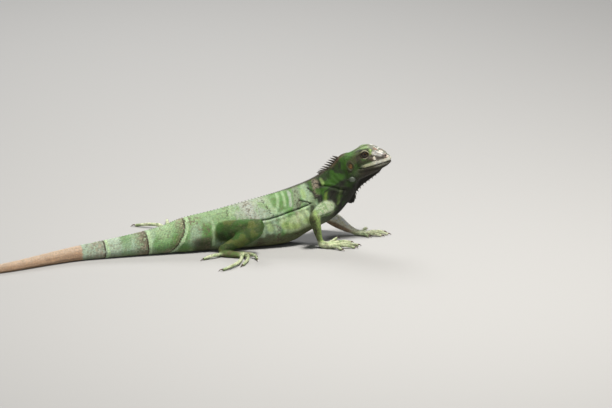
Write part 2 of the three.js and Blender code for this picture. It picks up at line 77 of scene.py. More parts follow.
def along(rows, shares):
    """Smooth curve through evenly spaced rows of numbers: a cubic between neighbours, whose slope
    at a row is half the step from the row before it to the row after it."""
    rows = np.asarray(rows, float)
    last = len(rows) - 1
    spot = np.clip(shares, 0, 1) * last
    i = np.minimum(spot.astype(int), last - 1)
    f = (spot - i)[:, None]
    a, b, c, d = (rows[np.clip(i + k, 0, last)] for k in (-1, 0, 1, 2))
    slope_in = (c - a) / 2
    slope_out = (d - b) / 2
    cubic = 2 * b - 2 * c + slope_in + slope_out
    square = 3 * (c - b) - 2 * slope_in - slope_out
    return ((cubic * f + square) * f + slope_in) * f + b


def chance(keys, seed):
    """A number from 0 to 1 for each whole number, mixed by multiplying and folding its bits."""
    mixed = (np.asarray(keys, np.int64) + seed * 7919) & 0xFFFFFFFF
    for factor in (0x85EBCA6B, 0xC2B2AE35):
        mixed = ((mixed ^ (mixed >> 15)) * factor) & 0xFFFFFFFF
    return (mixed ^ (mixed >> 16)) / 0xFFFFFFFF


def noise(points, size, seed=0):
    """Smooth random value from 0 to 1 of a place: the chances of the eight corners of its cell in
    a cubic lattice of the given size, mixed by smoothed shares."""
    cell = np.asarray(points, float) / size
    base = np.floor(cell).astype(np.int64)
    f = cell - base
    f = f * f * (3 - 2 * f)
    total = np.zeros(len(cell))
    for corner in itertools.product((0, 1), repeat=3):
        at = base + corner
        key = at[:, 0] * 73856093 + at[:, 1] * 19349663 + at[:, 2] * 83492791
        share = np.prod(np.where(corner, f, 1 - f), axis=1)
        total += share * chance(key, seed)
    return total


def bell(value, width):
    """A hill of height 1 over 0: exp of minus the square of value / width."""
    return np.exp(-((value / width) ** 2))


def blob(x, y, centre, radii):
    """A round hill of height 1: exp of minus the square of the distance in radii."""
    return np.exp(-(((x - centre[0]) / radii[0]) ** 2) - ((y - centre[1]) / radii[1]) ** 2)


PATH_REACH = 8
FAR = 99.0


def near_path(points, path):
    """Distance to a smooth path through a few places, and the share of the path at the nearest of
    them. Beyond the path's reach it counts as far away."""
    dense = along(path, np.linspace(0, 1, 14 * len(path)))
    low, high = dense.min(axis=0) - PATH_REACH, dense.max(axis=0) + PATH_REACH
    inside = np.flatnonzero(((points > low) & (points < high)).all(axis=1))
    away = np.full(len(points), FAR)
    share = np.zeros(len(points))
    if len(inside):
        gap = np.linalg.norm(points[inside, None, :] - dense[None], axis=2)
        away[inside] = gap.min(axis=1)
        share[inside] = gap.argmin(axis=1) / (len(dense) - 1)
    return away, share


# ---------- meshes


def linked(name, data):
    """A new object in the scene, holding a mesh, lamp or camera."""
    obj = bpy.data.objects.new(name, data)
    bpy.context.scene.collection.objects.link(obj)
    return obj


def write_places(mesh, points):
    """Puts places in millimetres into the mesh's vertices."""
    mesh.vertices.foreach_set("co", (points * MM).astype(np.float32).ravel())
    mesh.update()


def make_mesh(name, points, groups, flat_groups=()):
    """A mesh object from places in millimetres and groups of faces, each group an array of corner
    numbers with one row for a face. Faces of the flat groups are shaded flat, the others smooth."""
    mesh = bpy.data.meshes.new(name)
    mesh.vertices.add(len(points))
    write_places(mesh, np.asarray(points))
    rounded = sum(len(g) for g in groups)
    groups = [np.asarray(g) for g in (*groups, *flat_groups) if len(g)]
    if groups:
        corners = np.concatenate([g.ravel() for g in groups])
        sizes = np.concatenate([np.full(len(g), g.shape[1]) for g in groups])
        mesh.loops.add(len(corners))
        mesh.loops.foreach_set("vertex_index", corners.astype(np.int32))
        mesh.polygons.add(len(sizes))
        starts = np.concatenate([[0], np.cumsum(sizes)[:-1]])
        mesh.polygons.foreach_set("loop_start", starts.astype(np.int32))
        mesh.update(calc_edges=True)
        mesh.polygons.foreach_set("use_smooth", np.arange(len(sizes)) < rounded)
    return linked(name, mesh)


def ring_faces(rings, sides, joined=False):
    """Four-cornered faces of a tube of rings, anticlockwise seen from outside. Where joined, the
    last ring runs on into the first."""
    i, j = np.meshgrid(np.arange(rings if joined else rings - 1), np.arange(sides), indexing="ij")
    n = (i + 1) % rings
    k = (j + 1) % sides
    return np.stack([i * sides + j, i * sides + k, n * sides + k, n * sides + j], axis=-1).reshape(-1, 4)


def closed_rings(grid, start, end):
    """Points and faces of rings of places closed by a pole at each end: grid is rings by sides."""
    rings, sides = grid.shape[:2]
    points = np.concatenate([grid.reshape(-1, 3), [start, end]])
    j = np.arange(sides)
    k = (j + 1) % sides
    pole = rings * sides
    last = (rings - 1) * sides
    first_fan = np.stack([np.full(sides, pole), k, j], axis=1)
    last_fan = np.stack([np.full(sides, pole + 1), last + j, last + k], axis=1)
    return points, [ring_faces(rings, sides), first_fan, last_fan]


def read_rows(items, field, width, kind=np.float32):
    """A field of every item as an array with one row for each."""
    flat = np.empty(len(items) * width, kind)
    items.foreach_get(field, flat)
    return flat.reshape(-1, width)


def read_places(mesh):
    """The mesh's vertex places, in millimetres."""
    return read_rows(mesh.vertices, "co", 3).astype(float) / MM


def read_normals(mesh):
    """The mesh's vertex normals."""
    return read_rows(mesh.vertex_normals, "vector", 3).astype(float)


def finished(obj):
    """A copy of the object's mesh with its modifiers carried out."""
    graph = bpy.context.evaluated_depsgraph_get()
    return bpy.data.meshes.new_from_object(obj.evaluated_get(graph))


def drop(obj):
    """Deletes an object and its mesh."""
    mesh = obj.data
    bpy.data.objects.remove(obj)
    bpy.data.meshes.remove(mesh)


def dressed(obj, material, slot):
    """A finished piece of the model: its material and its body. Its slot is not used."""
    obj.data.materials.append(material)
    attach(obj, "root")
    return obj


def placed(name, points, groups, material, slot):
    """A finished piece on the animal, shaded smooth."""
    return dressed(make_mesh(name, points, groups), material, slot)


def paint(obj, name, colours):
    """Stores a colour at each vertex as an attribute that materials read."""
    layer = obj.data.color_attributes.new(name, "FLOAT_COLOR", "POINT")
    rgba = np.ones((len(colours), 4), np.float32)
    rgba[:, :3] = colours
    layer.data.foreach_set("color", rgba.ravel())


# ---------- tubes


def tube(rows, hint=UP, roof=0):
    """A part of the flesh: stations [x, y, z, half width, height above, depth below], the way that
    its width stands square to, and how much its roof is narrower than its floor."""
    return {"rows": np.asarray(rows, float), "hint": np.asarray(hint, float), "roof": roof}


def tube_frame(part, shares):
    """Stations, way of travel, way across and way up at shares of a tube's length."""
    stations = along(part["rows"], shares)
    step = 0.01
    ahead = along(part["rows"], shares + step)[:, :3]
    behind = along(part["rows"], shares - step)[:, :3]
    way = unit(ahead - behind)
    across = unit(np.cross(part["hint"], way))
    return stations, way, across, np.cross(way, across)


def tube_points(part, shares, angles, grow=0):
    """Places on a tube: centre + across (half width) cos a (1 - roof sin a) + up (height or depth)
    sin a, with grow added to the width, height and depth."""
    stations, _, across, upward = tube_frame(part, shares)
    lift = np.sin(angles)
    reach = (stations[:, 3] + grow) * np.cos(angles) * (1 - part["roof"] * lift)
    rise = (np.where(lift > 0, stations[:, 4], stations[:, 5]) + grow) * lift
    return stations[:, :3] + across * reach[:, None] + upward * rise[:, None]


def tube_solid(part, rings, sides, grow=0, tip=0.6):
    """A closed tube: rings of places evenly round the section, and a pole beyond each end."""
    shares = np.linspace(0, 1, rings)
    angles = whole_turn(sides)
    grid = tube_points(part, np.repeat(shares, sides), np.tile(angles, rings), grow)
    stations, way, _, _ = tube_frame(part, np.array([0, 1]))
    bulge = tip * (stations[:, 3:4] + grow)
    poles = stations[:, :3] + way * bulge * np.array([[-1], [1]])
    return closed_rings(grid.reshape(rings, sides, 3), poles[0], poles[1])


def ball(centre, radii, frame3, rounds=32):
    """A ball stretched along the three columns of frame3: rings of cos(latitude) by longitude."""
    lat = np.linspace(-math.pi / 2, math.pi / 2, rounds // 2 + 1)[1:-1]
    lon = whole_turn(rounds)
    flat, turn = np.meshgrid(lat, lon, indexing="ij")
    unit_ball = np.stack([np.cos(flat) * np.cos(turn), np.cos(flat) * np.sin(turn), np.sin(flat)], -1)
    grid = centre + (unit_ball * radii) @ np.asarray(frame3).T
    pole = np.asarray(frame3)[:, 2] * radii[2]
    return closed_rings(grid, centre - pole, centre + pole)


# ---------- the animal's own sizes

TAIL_TURN_X = -157  # where the regrown part of the tail begins

BODY = tube([
    [-392, -20, 1.2, 0.8, 0.8, 0.9], [-372, -26, 1.9, 1.5, 1.6, 1.8], [-338, -32, 3, 2.6, 2.8, 3],
    [-300, -33, 3.9, 3.7, 3.9, 4], [-262, -28, 4.8, 4.6, 4.8, 5], [-230, -20.5, 5.7, 5.4, 5.7, 5.9],
    [-194, -10, 7, 6.5, 6.9, 7.2], [TAIL_TURN_X, -2, 8.6, 7.7, 8.4, 8.9],
    [-112, 0, 11.1, 9.8, 11.1, 11.4], [-80, 0, 13.6, 11.6, 13.8, 13.9], [-58, 0, 15.8, 13, 16.2, 16.2],
    [-36, 0, 18.8, 14.7, 20.2, 19.7], [0, 0, 21.5, 17, 23.5, 22.6], [40, 0, 25.5, 21.5, 27.5, 26.6],
    [75, 0, 31, 23, 29, 30.4], [100, -0.5, 39.5, 21, 27.4, 27], [120, -2, 50, 18.5, 24.4, 28],
    [136, -4.5, 63, 15.2, 20.8, 24.5], [147, -7, 76, 13.6, 18, 20],
    [157, -9, 86, 12.4, 19, 15], [167, -11.5, 94, 10.5, 9.5, 10],
], roof=0.12)
BODY_STEPS = len(BODY["rows"]) - 1
CREST_START = 7.4 / BODY_STEPS
NAPE_START = 17.05 / BODY_STEPS
NAPE_END = 18.64 / BODY_STEPS

SNOUT = np.array([198.5, -19.5, 94.8])
HEAD_TURN = math.radians(-14)
HEAD_PITCH = math.radians(10)
HEAD_LENGTH = 56

# [back from the snout, crown height, crown half width, brow half width, brow height, cheek half
#  width, cheek height, jaw half width, jaw height, underside height]
HEAD = [
    [0.9, 4.8, 1.8, 3.2, 3.4, 4, -0.4, 2.8, -3.2, -4],
    [5, 9.6, 3.2, 5.8, 6.8, 7, 0.2, 5.2, -5.2, -6.6],
    [10, 14, 4.4, 7.2, 10.4, 8.8, 0.6, 6.8, -6.4, -8.4],
    [17, 19, 5.4, 8.6, 15, 10.6, 2, 8.6, -8, -10.6],
    [25, 20.8, 6.4, 10.6, 17, 12.4, 3.6, 10.2, -9.8, -13],
    [33, 18.9, 6.8, 11.4, 15, 14, 3.2, 11.4, -11.6, -15],
    [41, 15.8, 6.6, 11.2, 11.8, 15, 1.6, 12.4, -13, -16.8],
    [48, 14.2, 6.2, 10.6, 9.4, 14.8, -0.4, 12.2, -13.6, -17.2],
    [54, 11.8, 5.2, 9.2, 6.8, 13, -2, 10.6, -12.6, -16],
]
EYE = {"at": (28.4, 7.6, 12.8)}
LIDS = {"at": (28.4, 6.4, 12.8), "radii": (8.4, 5.7, 6.8)}
EAR = {"at": (46, 14, 2.6), "radii": (2.7, 3.4)}
JAW_PLATE = {"at": (46.5, 12.2, -11.8), "radii": (3.4, 1.8, 3)}
NOSTRIL = {"at": (4.2, 5, 6), "radii": (1.35, 1.9)}
SIDES = {"left": 1, "right": -1}

LEGS = {
    "fore_right": {
        "upper": tube([[129, -9, 42.5, 7.5, 8, 8], [124, -19, 43, 7.8, 8, 8.2],
                       [116, -27.5, 43, 7, 7.4, 7.4], [108, -33.5, 41.8, 5.6, 6, 6],
                       [104, -35.5, 40.6, 3.8, 4, 4]]),
        "lower": tube([[103.5, -36, 42, 4.4, 5.2, 5.2], [105, -35.5, 36, 5.2, 6.6, 6.4],
                       [107.5, -34, 27, 4.8, 5.6, 5.4], [110.5, -31.5, 16, 3.8, 4.2, 4],
                       [113.5, -30, 7.5, 3.8, 3.6, 3.6]], hint=(1, 0, 0)),
        "palm": tube([[112, -30, 6, 3.8, 4, 4.4], [117, -31.5, 4.6, 5.2, 3.4, 5],
                      [123, -33.5, 3.8, 6.2, 2.8, 4.2], [128, -35, 3.2, 5, 2.2, 3.4]]),
        "digits": [
            ([[121, -29.5, 4], [127, -26.5, 5], [131, -24.5, 6.4], [134.5, -23.5, 8]], (0.8, 0.25, 0.4)),
            ([[125, -31, 3.6], [134, -28.5, 4.8], [143, -26.5, 4.2], [150, -25.5, 2.6]], (1, 0.1, -0.2)),
            ([[128, -34, 3.4], [138, -34, 4.2], [147, -34.5, 3.4], [155.5, -35.5, 1.5]], (1, -0.05, 0)),
            ([[127, -36.5, 3.4], [135, -39, 3.8], [143, -41.5, 3.2], [149.5, -43.5, 1.5]], (1, -0.35, 0)),
            ([[123, -37.5, 3.4], [127, -41.5, 4], [130.5, -45, 2.8], [133, -48, 1.5]], (0.6, -0.8, 0)),
        ],
    },
    "fore_left": {
        "upper": tube([[128, 8, 45, 7.5, 8, 8], [130, 17, 37, 7.6, 7.6, 7.6], [132, 24, 29, 7, 7, 7],
                       [134, 28, 22.5, 6, 6.2, 6.2], [135, 28.5, 19.5, 4.4, 4.6, 4.6]], hint=(1, 0, 0)),
        "lower": tube([[131, 30, 23.5, 5.2, 6, 5], [138, 26, 20, 6.4, 7.4, 7.2],
                       [147.5, 20, 15.2, 6.4, 7, 8.2], [157, 13.5, 9.2, 5, 4.4, 6.2],
                       [165.5, 8.5, 5, 3.9, 2.8, 4.4]]),
        "palm": tube([[163.5, 9, 4.8, 3.8, 2.9, 4.4], [169, 7.5, 3.7, 5.2, 2.5, 4.2],
                      [175, 6, 3, 6, 2.2, 3.4], [180, 4.5, 2.7, 5, 1.9, 3]]),
        "digits": [
            ([[169, 3.5, 2.8], [172.5, 0.5, 3.2], [175.5, -2.5, 2.4], [177, -5, 1.5]], (0.6, -0.8, 0)),
            ([[176, 2.5, 2.7], [182, -0.5, 3.2], [187.5, -3.5, 2.6], [191.5, -6, 1.5]], (0.9, -0.5, 0)),
            ([[179, 4, 2.7], [187, 2.5, 3.4], [194, 0.5, 3], [200.5, -1.5, 1.5]], (1, -0.2, 0)),
            ([[179, 6.5, 2.7], [186, 7, 3], [193, 7.5, 2.6], [198.5, 7.5, 1.5]], (1, 0.1, 0)),
            ([[174, 9.5, 2.8], [177.5, 13.5, 4.4], [180, 17.5, 4.4], [182, 20.5, 3.2]], (0.5, 0.7, -0.2)),
        ],
    },
    "hind_right": {
        "upper": tube([[-2, -6, 22, 10, 11, 11], [8, -17, 25.5, 9.6, 11, 12], [20, -27, 29.5, 8.8, 10, 11.5],
                       [33, -35, 32.3, 7.8, 9.2, 9.6], [43, -38.5, 33.2, 6.2, 8.2, 7.4]]),
        "lower": tube([[40.5, -39.5, 31.5, 5.8, 6.8, 7], [33.5, -38.8, 27.5, 7.6, 8.2, 9],
                       [21, -36.5, 20.5, 7.2, 7.8, 9], [7.5, -34, 13, 5.4, 5.6, 6.4],
                       [-4, -31.5, 7, 4.6, 4.4, 4.8]]),
        "palm": tube([[-4.5, -30.5, 5.2, 3.6, 3.8, 4.6], [1, -34, 4.6, 5.4, 3.8, 5],
                      [9.5, -38.5, 3.9, 5.8, 3.4, 4.4], [18, -44, 3.2, 4.8, 2.6, 3.4]]),
        "digits": [
            ([[14, -38, 3.2], [20, -38.5, 4], [26, -40, 3], [31, -42.5, 1.5]], (0.9, -0.45, 0)),
            ([[17.5, -41.5, 3.2], [25.5, -45, 4.4], [31, -51, 3.6], [31.5, -58.5, 1.5]], (-0.15, -1, 0)),
            ([[19, -44, 3.2], [22, -54, 4.8], [18.5, -65, 3.8], [10, -76.5, 1.5]], (-0.7, -0.75, 0)),
            ([[17, -45.5, 3.2], [13.5, -59, 5], [6, -73, 4], [-6, -83.5, 3], [-16, -88.5, 1.5]],
             (-1, -0.1, 0)),
            ([[0, -34, 3.6], [-9, -37.5, 4], [-18, -39.5, 3.2], [-25.5, -41.5, 1.5]], (-0.9, -0.55, 0)),
        ],
    },
    "hind_left": {
        "upper": tube([[-2, 6, 20, 10, 10, 11], [4, 18, 19, 9.6, 9.8, 10.5], [9, 29, 18, 8.4, 8.8, 9.4],
                       [13.5, 40, 17, 7.2, 7.4, 8], [16, 47.5, 16, 5.6, 5.8, 6]]),
        "lower": tube([[16.5, 47, 16, 5.6, 6, 6.4], [9.5, 51.5, 14.5, 7, 7, 8],
                       [0, 57.5, 12, 6.4, 6.4, 7], [-11, 64.5, 9, 5, 4.8, 5.4],
                       [-20.5, 71, 6.6, 4.6, 4, 4.6]]),
        "palm": tube([[-18.5, 69.5, 5, 3.6, 3.6, 4.4], [-23, 73.5, 4.6, 5.4, 3.6, 5],
                      [-30, 79, 3.9, 5.8, 3.2, 4.4], [-37, 84.5, 3.2, 4.8, 2.4, 3.4]]),
        "digits": [
            ([[-27.5, 83, 3.2], [-22, 87, 4], [-17.5, 89.5, 3], [-14, 90.5, 1.5]], (0.9, 0.2, 0)),
            ([[-31, 86, 3.2], [-25.5, 93, 4.2], [-21, 99, 3.2], [-18, 103, 1.5]], (0.45, 0.9, 0)),
            ([[-34, 86, 3.2], [-30.5, 97, 5], [-28, 107, 4.4], [-26, 115, 3]], (0.3, 0.9, -0.2)),
            ([[-36, 85, 3.2], [-42, 94, 4.8], [-51, 101.5, 4.2], [-64, 110.5, 1.6]], (-1, 0.15, 0)),
            ([[-22, 75.5, 3.6], [-31, 71, 4], [-40.5, 68.5, 3.2], [-48.5, 67, 1.5]], (-1, -0.15, 0)),
        ],
    },
}
DIGIT_SIZE = {
    "fore": {"root": 2.2, "tip": 1.6, "claw": 4.2, "claw_root": 1.1},
    "hind": {"root": 2.4, "tip": 1.65, "claw": 5.6, "claw_root": 1.15},
}

# ---------- head

TURN3 = np.array([[math.cos(HEAD_TURN), -math.sin(HEAD_TURN), 0],
                  [math.sin(HEAD_TURN), math.cos(HEAD_TURN), 0],
                  [0, 0, 1]])
PITCH3 = np.array([[math.cos(HEAD_PITCH), 0, -math.sin(HEAD_PITCH)],
                   [0, 1, 0],
                   [math.sin(HEAD_PITCH), 0, math.cos(HEAD_PITCH)]])
HEAD3 = TURN3 @ PITCH3 @ np.diag([-1, 1, 1])  # columns: back, left and up along the head


def in_head(places):
    """Places [back from the snout, left, above the mouth line] moved into the row's frame."""
    return SNOUT + np.asarray(places, float) @ HEAD3.T


def on_side(part, side, out=0):
    """The middle of a part of the head on one side, moved out from the head's middle."""
    t, y, h = part["at"]
    return in_head((t, side * (y + out), h))


def to_head(points):
    """Places in the row's frame as [back from the snout, left, above the mouth line]."""
    return (np.asarray(points, float) - SNOUT) @ HEAD3


def head_points(shares, turns, grow=0):
    """Places on the head: ten corners of its section run along it on smooth curves, and a closed
    smooth curve joins them. A turn from 0 to 1 goes from the crown down the left side, under the
    jaw and up the right side."""
    t, top, crown, brow, brow_h, cheek, cheek_h, jaw, jaw_h, under = along(HEAD, shares).T
    zero = np.zeros_like(t)
    shoulder = top - 0.12 * crown
    half = [(zero, top), (crown, shoulder), (brow, brow_h), (cheek, cheek_h), (jaw, jaw_h), (zero, under)]
    corners = np.array(half + [(-y, h) for y, h in half[4:0:-1]])
    spot = np.mod(turns, 1) * 10
    i = np.floor(spot).astype(int)
    f = spot - i
    here = np.arange(len(t))
    a, b, c, d = (corners[(i + k) % 10, :, here].T for k in (-1, 0, 1, 2))
    slope_in = (c - a) / 2
    slope_out = (d - b) / 2
    y, h = ((2 * b - 2 * c + slope_in + slope_out) * f + 3 * (c - b) - 2 * slope_in - slope_out) * f * f \
        + slope_in * f + b
    middle = (top + under) / 2
    reach = np.maximum(np.hypot(y, h - middle), 1e-6)
    return in_head(np.stack([t, y + grow * y / reach, h + grow * (h - middle) / reach], axis=1))


def head_solid(rings, sides, grow):
    """The head as a closed tube of sections from the snout to inside the neck."""
    shares = np.repeat(np.linspace(0, 1, rings), sides)
    grid = head_points(shares, np.tile(np.arange(sides) / sides, rings), grow).reshape(rings, sides, 3)
    start, end = in_head([[-0.5 - grow, 0, 0.6], [HEAD_LENGTH + grow, 0, -1.5]])
    return closed_rings(grid, start, end)


MOUTH = np.array([(-6, -0.9), (10, -0.2), (22, -2.6), (38.5, -1.6)])  # corners of its curve


def mouth_height(t):
    """Height of the mouth line a distance t back from the snout: a curve of four corners,
    (1-u)^3 a + 3(1-u)^2 u b + 3(1-u) u^2 c + u^3 d, read across."""
    u = np.linspace(0, 1, 60)
    weights = ((1 - u) ** 3, 3 * (1 - u) ** 2 * u, 3 * (1 - u) * u * u, u ** 3)
    back, height = sum(corner[:, None] * weight for corner, weight in zip(MOUTH, weights))
    return np.interp(t, back, height)


# ---------- dewlap

DEWLAP_EDGE = [(5, -5.5), (16, -13.6), (27, -19.5), (37, -24.8), (45, -32), (47.3, -38), (48.8, -42.3),
               (54, -43.2), (59, -40.5)]
DEWLAP_ROOT = [(8, -3), (20, -7), (30, -9), (40, -11), (48, -15), (52, -19), (55, -23), (58, -27),
               (61, -31)]
DEWLAP_HALF = (2.2, 0.75)  # half thickness at the root and near the edge


def dewlap_points(shares, angles, grow=0):
    """The fold of throat skin: at each share, a flat oval whose long way runs from the root line
    to the free edge and whose thickness falls from the root to the edge."""
    edge = along(DEWLAP_EDGE, shares)
    root = along(DEWLAP_ROOT, shares)
    middle = (edge + root) / 2
    reach = (edge - root) / 2
    length = np.maximum(np.linalg.norm(reach, axis=1, keepdims=True), 1e-6)
    reach = reach * (1 + grow / length)
    out = np.cos(angles)
    half = DEWLAP_HALF[0] + (DEWLAP_HALF[1] - DEWLAP_HALF[0]) * (out + 1) / 2 + grow
    flat = middle + reach * out[:, None]
    across = half * np.sign(np.sin(angles)) * np.abs(np.sin(angles)) ** 0.7
    return in_head(np.stack([flat[:, 0], across, flat[:, 1]], axis=1))


def dewlap_solid(rings, sides, grow):
    """The dewlap's ovals, closed at both ends."""
    shares = np.repeat(np.linspace(0, 1, rings), sides)
    angles = -np.tile(whole_turn(sides), rings)
    grid = dewlap_points(shares, angles, grow).reshape(rings, sides, 3)
    return closed_rings(grid, grid[0].mean(axis=0), grid[-1].mean(axis=0))


# ---------- legs


def digit_tube(path, size):
    """A toe as a tube along its path, a little thicker at its joints."""
    shares = np.linspace(0, 1, 13)
    centre = along(path, shares)
    half = size["root"] + (size["tip"] - size["root"]) * shares
    half = half * (1 + 0.07 * np.cos(shares * 2 * math.pi * (len(path) - 1)))
    return tube(np.column_stack([centre, half * 0.92, half, half * 1.05]))


DIGITS = {
    (key, i): digit_tube(path, DIGIT_SIZE[key.split("_")[0]])
    for key, leg in LEGS.items()
    for i, (path, _) in enumerate(leg["digits"])
}

# ---------- where a place lies


def nearest_station(part, points, count):
    """For each place, the nearest of a tube's evenly shared stations: its share, the station and
    its ways along and up, and the place's own distances sideways and upwards from it."""
    shares = np.linspace(0, 1, count)
    stations, way, across, upward = tube_frame(part, shares)
    centre = stations[:, :3].astype(np.float32)
    length = (centre * centre).sum(axis=1)
    nearest = np.empty(len(points), np.int64)
    for start in range(0, len(points), 20000):
        block = points[start:start + 20000].astype(np.float32)
        nearest[start:start + 20000] = (length - 2 * block @ centre.T).argmin(axis=1)
    gap = points - stations[nearest, :3]
    side = (gap * across[nearest]).sum(axis=1)
    lift = (gap * upward[nearest]).sum(axis=1)
    on = (gap * way[nearest]).sum(axis=1)
    return shares[nearest], stations[nearest], way[nearest], side, lift, on


def tube_gap(part, points):
    """About how far each place lies outside a tube, and the tube's way of travel there: the
    distance from the nearest centre, less the oval's size in that direction."""
    _, station, way, side, lift, on = nearest_station(part, points, 60)
    tall = np.where(lift > 0, station[:, 4], station[:, 5])
    reach = np.maximum(np.hypot(side, lift), 1e-6)
    oval = 1 / np.sqrt((side / reach / station[:, 3]) ** 2 + (lift / reach / tall) ** 2)
    return np.sqrt(reach * reach + on * on) - oval, way


def survey(points):
    """The body's own map of any places: x is where the spine's nearest place lies, lift how high
    the place is over the spine in millimetres, high the same as a share of the body's size."""
    share, station, way, side, lift, on = nearest_station(BODY, points, 500)
    size = np.where(lift > 0, station[:, 4], station[:, 5])
    return {"x": station[:, 0] + on * way[:, 0], "lift": lift, "side": side,
            "high": np.clip(lift / size, -1.3, 1.3), "share": share, "way": way}


# ---------- skin


def upright(frame3):
    """The same three ways with the first turned about if they would turn a ball inside out."""
    frame3 = np.array(frame3)
    if np.linalg.det(frame3) < 0:
        frame3[:, 0] = -frame3[:, 0]
    return frame3


def flesh():
    """All parts of the flesh as closed solids, inside the frame's solids by the coat's depth."""
    solids = [
        tube_solid(BODY, 460, 96, -COAT),
        head_solid(120, 120, -COAT),
        dewlap_solid(70, 40, -COAT / 2),
    ]
    for side in SIDES.values():
        for part, grow in ((LIDS, -COAT), (JAW_PLATE, 0.3)):
            solids.append(ball(on_side(part, side), np.array(part["radii"]) + grow, upright(HEAD3)))
    for leg in LEGS.values():
        solids += [tube_solid(leg[part], 60, 40, -COAT) for part in ("upper", "lower")]
        solids.append(tube_solid(leg["palm"], 40, 36, -COAT * 0.7))
    solids += [tube_solid(digit, 40, 20, -COAT * 0.6, tip=0.5) for digit in DIGITS.values()]
    return solids


def joined_mesh(name, solids):
    """Several solids in one mesh."""
    points = []
    groups = []
    count = 0
    for part_points, part_groups in solids:
        points.append(part_points)
        groups += [g + count for g in part_groups]
        count += len(part_points)
    return make_mesh(name, np.concatenate(points), groups)


def neighbour_mean(points, edges, counts):
    """The mean of each vertex's neighbours."""
    total = np.empty_like(points)
    for k in range(points.shape[1]):
        total[:, k] = np.bincount(edges[:, 0], points[edges[:, 1], k], len(points))
        total[:, k] += np.bincount(edges[:, 1], points[edges[:, 0], k], len(points))
    return total / counts[:, None]


def fillet(points, normals, edges, rounds):
    """Softens the hollows where parts meet: where the neighbours' mean lies outside the surface,
    the vertex moves towards it, more the sharper the hollow. The back of the head is softened
    all round, where it runs into the neck, and so are the knees, elbows, heels and wrists."""
    counts = np.bincount(edges.ravel(), minlength=len(points)).astype(float)
    hollow = ((neighbour_mean(points, edges, counts) - points) * normals).sum(axis=1)
    weight = np.clip(hollow / (0.04 * VOXEL), 0, 1)[:, None]
    for _ in range(6):
        weight = np.clip(neighbour_mean(weight, edges, counts) * 1.25, 0, 1)
    t, _, h = to_head(points).T
    nape = window(t, 48, 66, 3.5) * smooth(-24, -14, h)
    weight = np.maximum(weight, 0.75 * nape[:, None])
    for leg in LEGS.values():
        for joint in (leg["lower"]["rows"][0, :3], leg["lower"]["rows"][-1, :3]):
            away = np.linalg.norm(points - joint, axis=1)[:, None]
            weight = np.maximum(weight, 0.9 * (1 - smooth(6, 11, away)))
    for _ in range(rounds):
        points = points + 0.6 * weight * (neighbour_mean(points, edges, counts) - points)
    return points + 0.4 * (neighbour_mean(points, edges, counts) - points)


def mirrored(path, centre_y):
    """The same path on the animal's other side."""
    return [(x, 2 * centre_y - y, z) for x, y, z in path]


# Folds of the skin on the right side: path, width, depth, and how far the skin above and below
# stands up beside the crease.
FLANK_FOLD = [(46, -19.3, 35), (52, -20.4, 35), (63, -20.8, 37), (80.6, -20.4, 41.9), (92.5, -19.8, 45),
              (105.5, -19.4, 49.6)]
FOLDS = [
    (FLANK_FOLD, 1.1, 1.7, 0.7),
    ([(103.5, -10.5, 65.5), (109, -14.5, 61), (114.5, -18, 56)], 0.9, 0.9, 0.35),
    ([(93.5, -16, 53.7), (100, -18, 51.4), (105.4, -19.4, 49.4)], 0.8, 0.8, 0.3),
    ([(107, -18, 54.5), (111, -18.3, 54.6), (116, -18, 56)], 0.8, 0.7, 0.2),
    ([(115, -12, 68), (122, -14.5, 67.2), (129, -16.4, 66.2), (137, -19, 64.2), (146, -20.6, 62)],
     1.2, 1.1, 0.5),
    ([(143, -20, 61), (139.5, -20, 54), (134.5, -19.5, 45)], 1, 0.8, 0.35),
    ([(132, -19, 62), (128.5, -19.5, 54), (124, -19, 47)], 1.1, 0.8, 0.35),
    ([(119, -17, 63), (117, -18.5, 57), (117.5, -19, 51)], 1, 0.8, 0.3),
    ([(133, -12, 79), (137, -16, 74), (143, -19, 70)], 1.2, 0.5, 0.25),
    ([(126, -8.5, 76.5), (130, -14, 71), (136, -17.5, 67.5)], 1.2, 0.5, 0.25),
]


def folded(points, normals):
    """Creases of the flanks, shoulders and neck: along each fold the skin sinks by
    depth exp(-(d / width)^2) and swells a little beside it."""
    amount = np.zeros(len(points))
    for path, width, depth, swell in FOLDS:
        for side_path in (path, mirrored(path, -2)):
            away, share = near_path(points, side_path)
            fade = window(share, 0.03, 0.97, 0.1)
            dip = -depth * bell(away, width)
            rise = swell * bell(away - 2.5 * width, 1.3 * width)
            amount += fade * (dip + rise)
    return points + normals * amount[:, None]


def muscled(points, normals):
    """The body's slow relief: shoulder blades, the hollow behind them, hips, the swelling of the
    tail's root, soft upright folds of the loose skin on the flanks, and a low ridge down the
    back. The legs keep their own shape."""
    place = survey(points)
    x, lift, side = place["x"], place["lift"], np.abs(place["side"])
    gap, _ = tube_gap(BODY, points)
    on_body = 1 - smooth(0.4, 2.2, gap)
    flank = smooth(6, 12, side)
    amount = 0.9 * blob(x, lift, (119, 9), (9, 8)) - 0.7 * blob(x, lift, (105, 0), (5, 9))
    amount += 0.5 * blob(x, lift, (-6, 9), (12, 6)) + 0.6 * blob(x, lift, (-36, -3), (20, 6))
    amount -= 0.5 * blob(x, lift, (-18, 3), (5, 8))
    sway = 3 * noise(points, 16, 61) + 0.12 * lift
    loose = window(x, 22, 108, 7) * window(lift, -15, 17, 5)
    amount += 0.26 * loose * np.sin((x + sway) * (2 * math.pi / 7.6))
    amount += 0.35 * loose * (noise(points, 6.5, 67) - 0.5)
    amount *= flank
    amount += 0.45 * bell(side, 1.5) * smooth(0.5, 0.8, place["high"])
    amount += 0.25 * (noise(points, 9, 71) - 0.5)
    return points + normals * (amount * on_body)[:, None]


def head_row(t, column):
    """A column of the head's rows, read straight between them at a distance t back."""
    return np.interp(t, [row[0] for row in HEAD], [row[column] for row in HEAD])


def brow_height(t):
    """Height of the edge between the head's roof and its side."""
    return head_row(t, 4)


